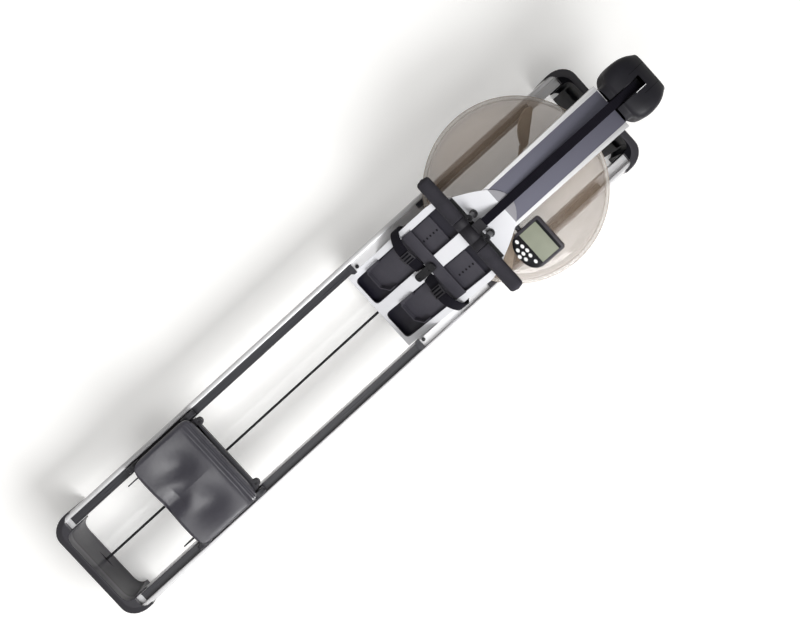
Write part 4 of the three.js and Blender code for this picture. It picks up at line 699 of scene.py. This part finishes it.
dress(ALUMINIUM, 0.5 * MM, "left_rail", "right_rail")
dress(ALUMINIUM, 0.8 * MM, "arm_beam")
dress(TRACK, 0.5 * MM, "left_track", "right_track")
dress(TRACK, 0.6 * MM, "rear_left_roller", "front_left_roller", "rear_right_roller", "front_right_roller")
dress(CAP_BLACK, 1.2 * MM, "rear_end_cap", "front_end_cap")
dress(RUBBER, 0.8 * MM, "rear_floor_pad", "front_floor_pad", "handle_rest")
dress(BLACK, 1.0 * MM, "left_tank_cradle", "right_tank_cradle", "arm_upright", "seat_frame", "front_pulley",
      "strap_spool", "monitor_bracket")
dress(WHITE, 0.7 * MM, "footboard")
dress(DARK, 1.0 * MM, "left_foot_tray", "right_foot_tray")
dress(FOOT, 0.8 * MM, "left_foot_plate", "right_foot_plate")
dress(FOOT, 1.0 * MM, "foot_bar")
dress(GLOSS_BLACK, 1.8 * MM, "strap_clip", segments=3)
dress(BLACK, 0.6 * MM, "left_ladder_buckle", "right_ladder_buckle", "strap_end_clip")
dress(GLOSS_BLACK, 0.6 * MM, "left_rest_post", "right_rest_post")
dress(PANEL, 0.4 * MM, "arm_panel")
dress(GLOSS_BLACK, 0.4 * MM, "left_board_bolt", "right_board_bolt")
dress(STEEL, 0.4 * MM, "pulley_axle")
dress(PADDLE, 0.8 * MM, "paddle")
dress(CASE_FACE, 0.8 * MM, "monitor_case")
dress(DISPLAY, 0.2 * MM, "monitor_screen")
dress(BUTTON, 0.6 * MM, *[f"monitor_button_{i}" for i in range(1, 10)])


# Seat pad: one moulded foam piece with a glossy skin, two hollows and a channel towards the rear

SEAT_X = -643.5 * MM
SEAT_HALF_LENGTH = 111.5 * MM
SEAT_HALF_WIDTH = 155 * MM
SEAT_THICK = 36 * MM
SEAT_DISH = 10 * MM
SEAT_CHANNEL = 11 * MM
SEAT_LIP = 5 * MM
SEAT_NOTCH = 2 * MM
SEAT_DRAW = 9 * MM
SEAT_BASE = 262.3 * MM


def swell(distance, width):
    return math.exp(-((distance / width) ** 2))


def pad_face(u, v):
    """Height of the upper face above the pad's base. u runs to the front edge, v across."""
    hollow = swell(u + 0.1, 0.5) * swell(abs(v) - 0.44, 0.3)
    fade = min(1.0, max(0.0, (0.35 - u) / 0.9))
    channel = swell(v, 0.19) * fade * fade
    lip = swell(u - 0.84, 0.12)
    ridge = 2.6 * MM * swell(u - 0.955, 0.022)
    groove = 3.4 * MM * swell(u - 0.885, 0.026) + 1.2 * MM * swell(u - 0.74, 0.02)
    far = max(abs(u), abs(v), 0.9)
    fall = ((far - 0.9) / 0.1) ** 2.4
    return SEAT_THICK - SEAT_DISH * hollow - SEAT_CHANNEL * channel + SEAT_LIP * (lip - fall) + ridge - groove


def seat_pad():
    around = 288
    rings = 84
    verts = []
    faces = []

    def edge(k):
        a = 2 * math.pi * k / around
        c, s = math.cos(a), math.sin(a)
        reach = square_reach(c, s, 11.0 if c > 0 else 7.8)
        return c * reach, s * reach

    def place(u, v, z):
        notch = -u * SEAT_NOTCH * swell(v, 0.3) if u < 0 else 0.0
        verts.append((SEAT_X + u * SEAT_HALF_LENGTH + notch, v * SEAT_HALF_WIDTH, SEAT_BASE + z))

    place(0, 0, 0)
    # Share of the plan and height above the base, up the side
    sides = [(0.5, 0.0), (0.955, 0.0), (0.972, 0.0010), (0.980, 0.0035), (0.985, SEAT_DRAW), (0.992, 0.0150),
             (0.998, SEAT_THICK * 0.55), (1.0, SEAT_THICK * 0.66), (0.998, SEAT_THICK * 0.76)]
    for share, z in sides:
        for k in range(around):
            u, v = edge(k)
            place(u * share, v * share, z)
    for r in range(1, rings):
        share = 0.994 * (1 - (r / rings) ** 1.7)
        for k in range(around):
            u, v = (c * share for c in edge(k))
            place(u, v, pad_face(u, v))
    place(0, 0, pad_face(0, 0))
    total = len(sides) + rings - 1
    for k in range(around):
        n = (k + 1) % around
        faces.append((0, 1 + n, 1 + k))
        for r in range(total - 1):
            a = 1 + r * around
            b = a + around
            faces.append((a + k, a + n, b + n, b + k))
        last = 1 + (total - 1) * around
        faces.append((last + k, last + n, 1 + total * around))
    made = piece("seat_pad_skin", verts, faces, SEAT, "seat")
    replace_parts(made, "seat_pad")


seat_pad()


# Water tank: two turned shells that meet at their flanges

def tank_shell(name, outline, material, replaced):
    verts, faces = lathe([(r * MM, z * MM) for r, z in outline], 160, (TANK_CENTRE, 0, 0))
    made = piece(name, verts, faces, material, "frame")
    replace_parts(made, replaced)
    rounded(made, 0.4 * MM, 2, 40)


def tank_shells():
    base = [(0, 232.3)]
    base += curve_points((206, 232.3), (258, 235.3), (258, 286), 16)
    base += [(258, 298), (266.6, 298), (268, 299), (268, 302), (255, 302)]
    base += curve_points((255, 286), (255, 238.3), (206, 235.3), 16)
    base += [(16.4, 235.3), (16.4, 245.3), (8.4, 245.3), (8.4, 235.3), (0, 235.3)]
    tank_shell("tank_base_shell", base, SMOKE_BASE, "tank_base")
    cover = [(255, 302.3), (268, 302.3), (268, 305.3), (266.6, 306.3), (258.6, 306.3)]
    cover += curve_points((258, 310.3), (258, 350), (206, 350), 20)
    cover += curve_points((200, 350.4), (120, 357), (50, 358.8), 8)
    cover += [(44, 359), (38, 361), (36, 363.5), (36, 390.3), (8.4, 390.3), (8.4, 356)]
    cover += [(50, 355.6)]
    cover += curve_points((206, 347), (255, 347), (255, 310.3), 20)
    tank_shell("tank_cover_shell", cover, SMOKE_TOP, "tank_cover")


tank_shells()


# Handle: grips with rounded ends, a middle hub with seam lines, and a small nub at each end

HANDLE = deck_place(57 * MM, 24.3 * MM)


def on_handle(x, y, z):
    c, s = math.cos(DECK), math.sin(DECK)
    return Vector((HANDLE.x + x * c - z * s, y, HANDLE.z + x * s + z * c))


def oval_rod(name, rings, material, replaced):
    """rings are (y, long half, short half) along the handle."""
    sides = 64
    verts = []
    for y, major, minor in rings:
        for k in range(sides):
            a = 2 * math.pi * k / sides
            verts.append(on_handle(major * math.cos(a), y, minor * math.sin(a)))
    made = piece(name, verts, rod_faces(len(rings), sides), material, "handle")
    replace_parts(made, replaced)


GRIP_INNER = 49.5 * MM
GRIP_OUTER = 199 * MM
GRIP_MAJOR = 22 * MM
GRIP_MINOR = 18 * MM
GRIP_EDGE = 3 * MM
GRIP_NOSE = 12 * MM


def grip(side, name):
    rings = []
    steps = 14
    for i in range(steps + 1):
        t = math.pi / 2 * i / steps
        drop = GRIP_EDGE * (1 - math.sin(t))
        rings.append((GRIP_INNER + GRIP_EDGE * (1 - math.cos(t)), GRIP_MAJOR - drop, GRIP_MINOR - drop))
    start = GRIP_INNER + GRIP_EDGE
    for i in range(1, 24):
        rings.append((start + (GRIP_OUTER - GRIP_NOSE - start) * i / 24, GRIP_MAJOR, GRIP_MINOR))
    for i in range(steps + 1):
        t = math.pi / 2 * i / steps
        drop = GRIP_NOSE * (1 - math.cos(t))
        rings.append((GRIP_OUTER - GRIP_NOSE + GRIP_NOSE * math.sin(t), GRIP_MAJOR - drop, GRIP_MINOR - drop))
    rings = [(side * y, a, b) for y, a, b in rings]
    oval_rod(f"{name}_sleeve", rings, FOAM, name)


grip(1, "left_grip")
grip(-1, "right_grip")


def handle_core():
    rings = []
    hub = 49.2 * MM
    for y, major, minor in ((-201.0, 3.6, 3.6), (-200.8, 4.6, 4.6), (-199.6, 5.0, 5.0), (-196.9, 5.0, 5.0),
                            (-196.9, 6.5, 6.0), (-60.0, 6.5, 6.0), (-50.0, 9.0, 9.0)):
        rings.append((y * MM, major * MM, minor * MM))
    for i in range(9):
        t = math.pi / 2 * i / 8
        rings.append((-hub + 2.5 * MM * (1 - math.cos(t)), (18.0 + 2.5 * math.sin(t)) * MM,
                      (14.0 + 2.5 * math.sin(t)) * MM))
    for y, drop in ((-24.4, 0.0), (-24.2, 0.7), (-23.8, 0.7), (-23.6, 0.0), (0.0, 0.0)):
        rings.append((y * MM, (20.5 - drop) * MM, (16.5 - drop) * MM))
    mirrored = [(-y, a, b) for y, a, b in reversed(rings[:-1])]
    oval_rod("handle_core", rings + mirrored, HUB, "handle_bar")


handle_core()


# Foot plates: dark discs painted as the shade in the pin holes, in one row on each plate

PLATE_FACE = -7.7 * MM
PIN_FIRST = (318 - 12) * MM
PIN_PITCH = 16 * MM
PIN_MOUTH = 3.5 * MM


def pin_hole_shades(name, rear, across):
    verts = []
    faces = []
    sides = 24
    # Each disc is painted shade standing in for a pin hole
    for i in range(5):
        along = rear + PIN_FIRST - i * PIN_PITCH
        for k in range(sides):
            a = 2 * math.pi * k / sides
            verts.append(slope_place(along + PIN_MOUTH * math.cos(a), PLATE_FACE + 0.12 * MM,
                                     across + PIN_MOUTH * math.sin(a)))
        faces.append(tuple(range(i * sides, (i + 1) * sides)))
    piece(f"{name}_pin_hole_shades", verts, faces, SEAM_AND_HOLE_SHADE, f"{name}_foot", smooth=False)


pin_hole_shades("left", 76 * MM, 68.8 * MM)
pin_hole_shades("right", 91 * MM, -68.8 * MM)


# Straps

PULLEY_X = 989.3 * MM
PULLEY_Z = 472.4 * MM
PULLEY_WRAP = 31.5 * MM
SPOOL_SIDE = 23.5 * MM
SPOOL_STRAP_Z = 420.4 * MM
SPOOL_TURN = 3.6  # radians of strap on the upper drum
ACROSS = Vector((0, 1, 0))
UP = Vector((0, 0, 1))


def pull_strap():
    tip = 44.07 * MM
    lead_length = 13.73 * MM
    start = Vector((HANDLE.x + tip * math.cos(DECK), 0, HANDLE.z + tip * math.sin(DECK)))
    lead = start + Vector((math.cos(DECK), 0, math.sin(DECK))) * lead_length
    bend = Vector((BEND[0], 0, BEND[1] + 2.1 * MM))
    over = Vector((BEND[0] + 5 * MM, 0, BEND[1] + 2.4 * MM))
    top = Vector((PULLEY_X, 0, PULLEY_Z + PULLEY_WRAP))
    stations = [(start, ACROSS), (lead, ACROSS)]
    stations += [(lead.lerp(bend, i / 8), ACROSS) for i in range(1, 8)]
    stations += [(bend, ACROSS), (over, ACROSS)]
    stations += [(over.lerp(top, i / 24), ACROSS) for i in range(1, 24)]
    for i in range(33):
        t = math.pi * i / 32
        at = Vector((PULLEY_X + PULLEY_WRAP * math.sin(t), 0, PULLEY_Z + PULLEY_WRAP * math.cos(t)))
        stations.append((at, ACROSS))
    low = PULLEY_Z - PULLEY_WRAP
    for i in range(37):
        t = i / 36
        ease = t * t * (3 - 2 * t)
        twist = math.pi / 2 * ease
        at = Vector(((880 - 160 * t) * MM, SPOOL_SIDE * ease, low + (SPOOL_STRAP_Z - low) * ease))
        stations.append((at, Vector((0, math.cos(twist), math.sin(twist)))))
    for i in range(37):
        t = SPOOL_TURN * i / 36
        at = Vector((TANK_CENTRE - SPOOL_SIDE * math.sin(t), SPOOL_SIDE * math.cos(t), SPOOL_STRAP_Z))
        stations.append((at, UP))
    return ribbon("pull_strap_web", stations, 12.5 * MM, 2.4 * MM, None)


strap = pull_strap()
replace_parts(strap, "pull_strap")
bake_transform(strap)


STRAP_ALONG = 245 * MM
STRAP_HALF = 20 * MM
BOARD_SIDE = 136.8 * MM


def foot_arch(side, name):
    """A strap that arches over one foot plate and is tucked down beside the footboard."""
    inner, outer, rise, gauge = 14.4 * MM, 147 * MM, 24 * MM, 2.4 * MM
    slant = 24 * MM
    points = []
    steps = 48
    for i in range(steps + 1):
        t = i / steps
        points.append((inner + (outer - inner) * t,
                       gauge / 2 + GAP + rise * max(math.sin(math.pi * t ** 1.5), 0.0) ** 0.8))
    edge = BOARD_SIDE + GAP + gauge / 2
    tail = 22 * MM
    across = [outer + gauge / 2, (outer + edge) / 2, edge, edge]
    for share, y in zip((0.25, 0.6, 1.0, 1.4), across):
        points.append((y, -tail * share))
    wide = slope_place(1, 0) - slope_place(0, 0)
    stations = []
    for y, out in points:
        along = STRAP_ALONG + slant * (y - inner) / (outer - inner)
        stations.append((slope_place(along, out, side * y), wide))
    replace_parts(ribbon(f"{name}_web", stations, STRAP_HALF, gauge, "frame"), name)


foot_arch(1, "left_foot_strap")
foot_arch(-1, "right_foot_strap")


# Recoil cord

BEAD = slope_place(0, -10 * MM)
BEAD_WRAP = 14.3 * MM
CORD_Z = BEAD.z - BEAD_WRAP
CAP_FACE = -1062 * MM
CORD_END = CAP_FACE + 14.2 * MM
CORD_MOUTH = CAP_FACE + 42 * MM
WALL_X = 477 * MM
DRUM_Z = 400.77 * MM
DRUM_WRAP = 26.3 * MM
DRUM_TURN = 3.4  # radians of cord on the lower drum
EASE = 8 * MM


def recoil_cord():
    """From the rear end cap under the seat, round the board's rear edge and the knee to the lower drum."""
    points = []

    def put(x, y, z):
        points.append(Vector((x, y, z)))

    put(CORD_END, 0, CORD_Z)
    put(CORD_MOUTH, 0, CORD_Z)
    for i in range(1, 24):
        put(CORD_MOUTH + (BEAD.x - CORD_MOUTH) * i / 24, 0, CORD_Z)
    for i in range(9):
        t = SLOPE * i / 8
        put(BEAD.x + BEAD_WRAP * math.sin(t), 0, BEAD.z - BEAD_WRAP * math.cos(t))
    slope_normal = Vector((-math.sin(SLOPE), 0, math.cos(SLOPE)))
    deck_normal = Vector((-math.sin(DECK), 0, math.cos(DECK)))
    both = (slope_normal + deck_normal).normalized()
    drop = CORD_Z - BEAD.z - 10 * MM
    guide = Vector((KNEE[0], 0, KNEE[1])) + both * (drop / both.dot(slope_normal))
    climb = (guide.z - points[-1].z) / (guide.x - points[-1].x)
    put(guide.x - EASE, 0, guide.z - climb * EASE)
    put(guide.x, 0, guide.z)
    rise = (DRUM_Z - guide.z) / (WALL_X - guide.x)
    put(guide.x + EASE, 0, guide.z + rise * EASE)
    put(WALL_X - EASE, 0, DRUM_Z - rise * EASE)
    put(WALL_X, 0, DRUM_Z)
    put(WALL_X + EASE, 0, DRUM_Z)
    lean = math.asin(DRUM_WRAP / (TANK_CENTRE - WALL_X - EASE))
    for i in range(37):
        t = math.pi / 2 + lean - DRUM_TURN * i / 36
        put(TANK_CENTRE + DRUM_WRAP * math.cos(t), DRUM_WRAP * math.sin(t), DRUM_Z)
    return tube("recoil_cord_braid", points, 4 * MM, 14, CORD, "frame")


def cord_knot():
    outline = [(0, -6), (5, -5.6), (8, -3.6), (9, 0), (8, 3.6), (5, 5.6), (0, 6)]
    verts, faces = lathe([(r * MM, z * MM) for r, z in outline], 32)
    verts = [(-1049.5 * MM + z, y, CORD_Z + x) for x, y, z in verts]
    piece("cord_knot", verts, faces, CORD, "frame")


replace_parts(recoil_cord(), "recoil_cord")
cord_knot()


# Pulley housing: a barrel with a narrower neck at its rear, a flat front and a slot for the strap

HOUSING_REAR = 923.3 * MM
HOUSING_LENGTH = 138.7 * MM
HOUSING_HALF = 86 * MM
HOUSING_BASE = 390.7 * MM
# Share of the half width, and height of the crown in mm, at shares of the length from the rear
HOUSING_PLAN = [
    (0.0, 0.67), (0.115, 0.70), (0.17, 0.84), (0.23, 0.93), (0.34, 0.985), (0.45, 1.0),
    (0.58, 0.985), (0.70, 0.945), (0.82, 0.87), (0.92, 0.78), (1.0, 0.715),
]
HOUSING_TOP = [
    (0.0, 500.0), (0.10, 508.5), (0.125, 509.5), (0.17, 514.5), (0.25, 518.6), (0.36, 521.3), (0.5, 522.0),
    (0.64, 520.6), (0.78, 514.8), (0.9, 504.0), (1.0, 490.0),
]
SLOT_LOW = (0.915, -0.0155, 0.4724)
SLOT_HIGH = (1.0205, 0.0155, 0.54)
HOUSING_WALL = 4 * MM
HOUSING_NOSE = 3.5 * MM
HOUSING_NOSE_START = 0.975


def along_table(table, t):
    """A smooth reading of a table of (place, value)."""
    count = len(table)
    i = 0
    while i < count - 2 and t > table[i + 1][0]:
        i += 1
    (x0, y0), (x1, y1) = table[i], table[i + 1]
    before = table[max(i - 1, 0)]
    after = table[min(i + 2, count - 1)]
    span = x1 - x0
    m0 = (y1 - before[1]) / (x1 - before[0]) * span
    m1 = (after[1] - y0) / (after[0] - x0) * span
    s = (t - x0) / span
    return ((2 * s ** 3 - 3 * s ** 2 + 1) * y0 + (s ** 3 - 2 * s ** 2 + s) * m0
            + (-2 * s ** 3 + 3 * s ** 2) * y1 + (s ** 3 - s ** 2) * m1)


def housing():
    count = 120

    def section(t, shrink):
        half = HOUSING_HALF * along_table(HOUSING_PLAN, t)
        high = along_table(HOUSING_TOP, t) * MM
        low = HOUSING_BASE + (22 * MM * ((t - 0.86) / 0.14) ** 2 if t > 0.86 else 0.0)
        mid = (high + low) / 2
        ring = []
        for k in range(count):
            a = 2 * math.pi * (k + 0.5) / count
            c, s = math.cos(a), math.sin(a)
            reach = square_reach(c, s, 6.0)
            ring.append((HOUSING_REAR + t * HOUSING_LENGTH, (half - shrink) * c * reach,
                         mid + ((high - low) / 2 - shrink) * s * reach))
        return ring

    rings = []
    steps = 96
    for i in range(steps + 1):
        rings.append(section(HOUSING_NOSE_START * i / steps, 0.0))
    for i in range(1, 7):
        a = math.pi / 2 * i / 6
        rings.append(section(HOUSING_NOSE_START + 0.025 * math.sin(a), HOUSING_NOSE * (1 - math.cos(a))))
    outer_rings = len(rings)
    for i in range(33):
        rings.append(section(0.96 * (1 - i / 32), HOUSING_WALL))
    verts = [v for ring in rings for v in ring]
    outer_end = (outer_rings - 1) * count
    inner_start = outer_rings * count
    inner_end = (len(rings) - 1) * count
    faces = tube_faces(len(rings), count)
    del faces[outer_end:inner_start]
    for k in range(count):
        n = (k + 1) % count
        faces.append((k, n, inner_end + n, inner_end + k))
    faces.append(tuple(range(outer_end, inner_start)))
    faces.append(tuple(range(inner_start, inner_start + count)))
    made = piece("housing_shell", verts, faces, HOUSING, "frame")
    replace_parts(made, "pulley_housing")
    return made


def boxed(low, high):
    (x0, y0, z0), (x1, y1, z1) = low, high
    verts = [(x, y, z) for x in (x0, x1) for y in (y0, y1) for z in (z0, z1)]
    faces = [(0, 1, 3, 2), (4, 6, 7, 5), (0, 4, 5, 1), (2, 3, 7, 6), (0, 2, 6, 4), (1, 5, 7, 3)]
    return verts, faces


def carve(target, low, high):
    """Cuts a box out of a piece, once and for all."""
    verts, faces = boxed(low, high)
    mesh = bpy.data.meshes.new("cutter")
    mesh.from_pydata(verts, [], faces)
    cutter = bpy.data.objects.new("cutter", mesh)
    bpy.context.scene.collection.objects.link(cutter)
    face_outwards(mesh)
    boolean = target.modifiers.new("slot", "BOOLEAN")
    boolean.operation = "DIFFERENCE"
    boolean.solver = "EXACT"
    boolean.object = cutter
    shown = bpy.context.evaluated_depsgraph_get()
    shown.update()
    result = bpy.data.meshes.new_from_object(target.evaluated_get(shown))
    target.modifiers.remove(boolean)
    old = target.data
    target.data = result
    bpy.data.meshes.remove(old)
    bpy.data.objects.remove(cutter)
    bpy.data.meshes.remove(mesh)


def strip(name, path, half, material):
    """A thin flat line laid along a path of (point, direction of its width)."""
    verts = []
    for point, side in path:
        along = Vector(side) * half
        verts.append(Vector(point) - along)
        verts.append(Vector(point) + along)
    faces = [(2 * i, 2 * i + 1, 2 * i + 3, 2 * i + 2) for i in range(len(path) - 1)]
    piece(name, verts, faces, material, "frame")


def housing_height(x, lift):
    return along_table(HOUSING_TOP, (x - HOUSING_REAR) / HOUSING_LENGTH) * MM + lift


def housing_lines():
    """The parting lines of the housing's moulding, and thin pale strips painted as highlights beside its slot and at
    its rear.
    """
    for side, name in ((1, "left"), (-1, "right")):
        path = []
        for i in range(17):
            x = 1.0 + 0.058 * i / 16
            path.append(((x, side * 33 * MM, housing_height(x, 0.15 * MM)), (0, 1, 0)))
        strip(f"housing_seam_{name}", path, 0.5 * MM, SEAM_AND_HOLE_SHADE)
    # A pale strip painted as a highlight beside the slot
    edge = []
    for i in range(9):
        x = 0.984 + 0.036 * i / 8
        edge.append(((x, -16.6 * MM, housing_height(x, 0.2 * MM)), (0, 1, 0)))
    strip("slot_highlight", edge, 0.9 * MM, GLINT_STRIP)
    # A pale strip painted as a highlight at the arm panel's end
    rear = [((0.9222, y, 0.4698), (1, 0, 0)) for y in (18 * MM, 59 * MM)]
    strip("panel_end_highlight", rear, 0.9 * MM, GLINT_STRIP)


shell = housing()
housing_lines()
carve(shell, SLOT_LOW, SLOT_HIGH)
rounded(shell, 0.5 * MM, 2, 50)


# Floor, light and background

def floor():
    """A pale floor. It is lifted towards white away from the machine, for the camera alone."""
    size = 14.0
    mesh = bpy.data.meshes.new("floor")
    mesh.from_pydata([(-size, -size, 0), (size, -size, 0), (size, size, 0), (-size, size, 0)], [], [(0, 1, 2, 3)])
    made = bpy.data.objects.new("floor", mesh)
    bpy.context.scene.collection.objects.link(made)
    look = Look("floor_paint", 0.9, specular=0.1)
    wide = look.noise(look.place(), 0.7, 2.0)
    look.colour(look.ramp(wide, [(0.3, (0.855, 0.852, 0.84)), (0.7, (0.865, 0.862, 0.852))]))
    x, y, _ = look.axes(look.place())
    away = look.length(look.levels(look.maths("ABSOLUTE", x), 0.0, 4.0, 1.0, 5.0), y)
    glow = look.levels(away, 0.24, 0.55, 0.2, 0.9)
    seen = look.node("ShaderNodeLightPath").outputs["Is Camera Ray"]
    look.set("Emission Color", (1, 1, 0.99, 1))
    look.link(look.times(seen, glow), look.shader.inputs["Emission Strength"])
    mesh.materials.append(look.material)


floor()


def area_light(name, place, aim, size, power):
    data = bpy.data.lights.new(name, "AREA")
    data.shape = "RECTANGLE"
    data.size, data.size_y = size
    data.energy = power
    made = bpy.data.objects.new(name, data)
    bpy.context.scene.collection.objects.link(made)
    made.location = place
    made.rotation_euler = (Vector(aim) - Vector(place)).to_track_quat("-Z", "Y").to_euler()


area_light("key_light", (-0.05, -2.1, 2.7), (-0.05, 0.0, 0.2), (1.9, 1.5), 106)
area_light("top_light", (-0.5, -0.95, 4.3), (-0.3, -0.2, 0.2), (3.8, 1.1), 30)
area_light("fill_light", (-0.6, 3.4, 3.0), (0.0, 0.0, 0.2), (3.0, 2.0), 6)


def backdrop():
    """A dome that is pale at the horizon and greyer above, and plain white where the camera sees it."""
    world = bpy.data.worlds.new("world")
    bpy.context.scene.world = world
    world.use_nodes = True
    tree = world.node_tree
    way = tree.nodes.new("ShaderNodeTexCoord")
    height = tree.nodes.new("ShaderNodeSeparateXYZ")
    tree.links.new(way.outputs["Generated"], height.inputs[0])
    dome = tree.nodes.new("ShaderNodeValToRGB")
    tree.links.new(height.outputs["Z"], dome.inputs[0])
    stops = ((0.0, (0.66, 0.645, 0.625)), (0.85, (0.20, 0.196, 0.192)))
    for element, (at, colour) in zip(dome.color_ramp.elements, stops):
        element.position = at
        element.color = (*colour, 1)
    ray = tree.nodes.new("ShaderNodeLightPath")
    sky = tree.nodes.new("ShaderNodeMix")
    sky.data_type = "RGBA"
    tree.links.new(ray.outputs["Is Camera Ray"], sky.inputs[0])
    tree.links.new(dome.outputs[0], sky.inputs[6])
    sky.inputs[7].default_value = (1, 1, 1, 1)
    background = tree.nodes["Background"]
    tree.links.new(sky.outputs[2], background.inputs["Color"])
    background.inputs["Strength"].default_value = 1.0


backdrop()

bpy.context.scene.view_settings.view_transform = "Standard"
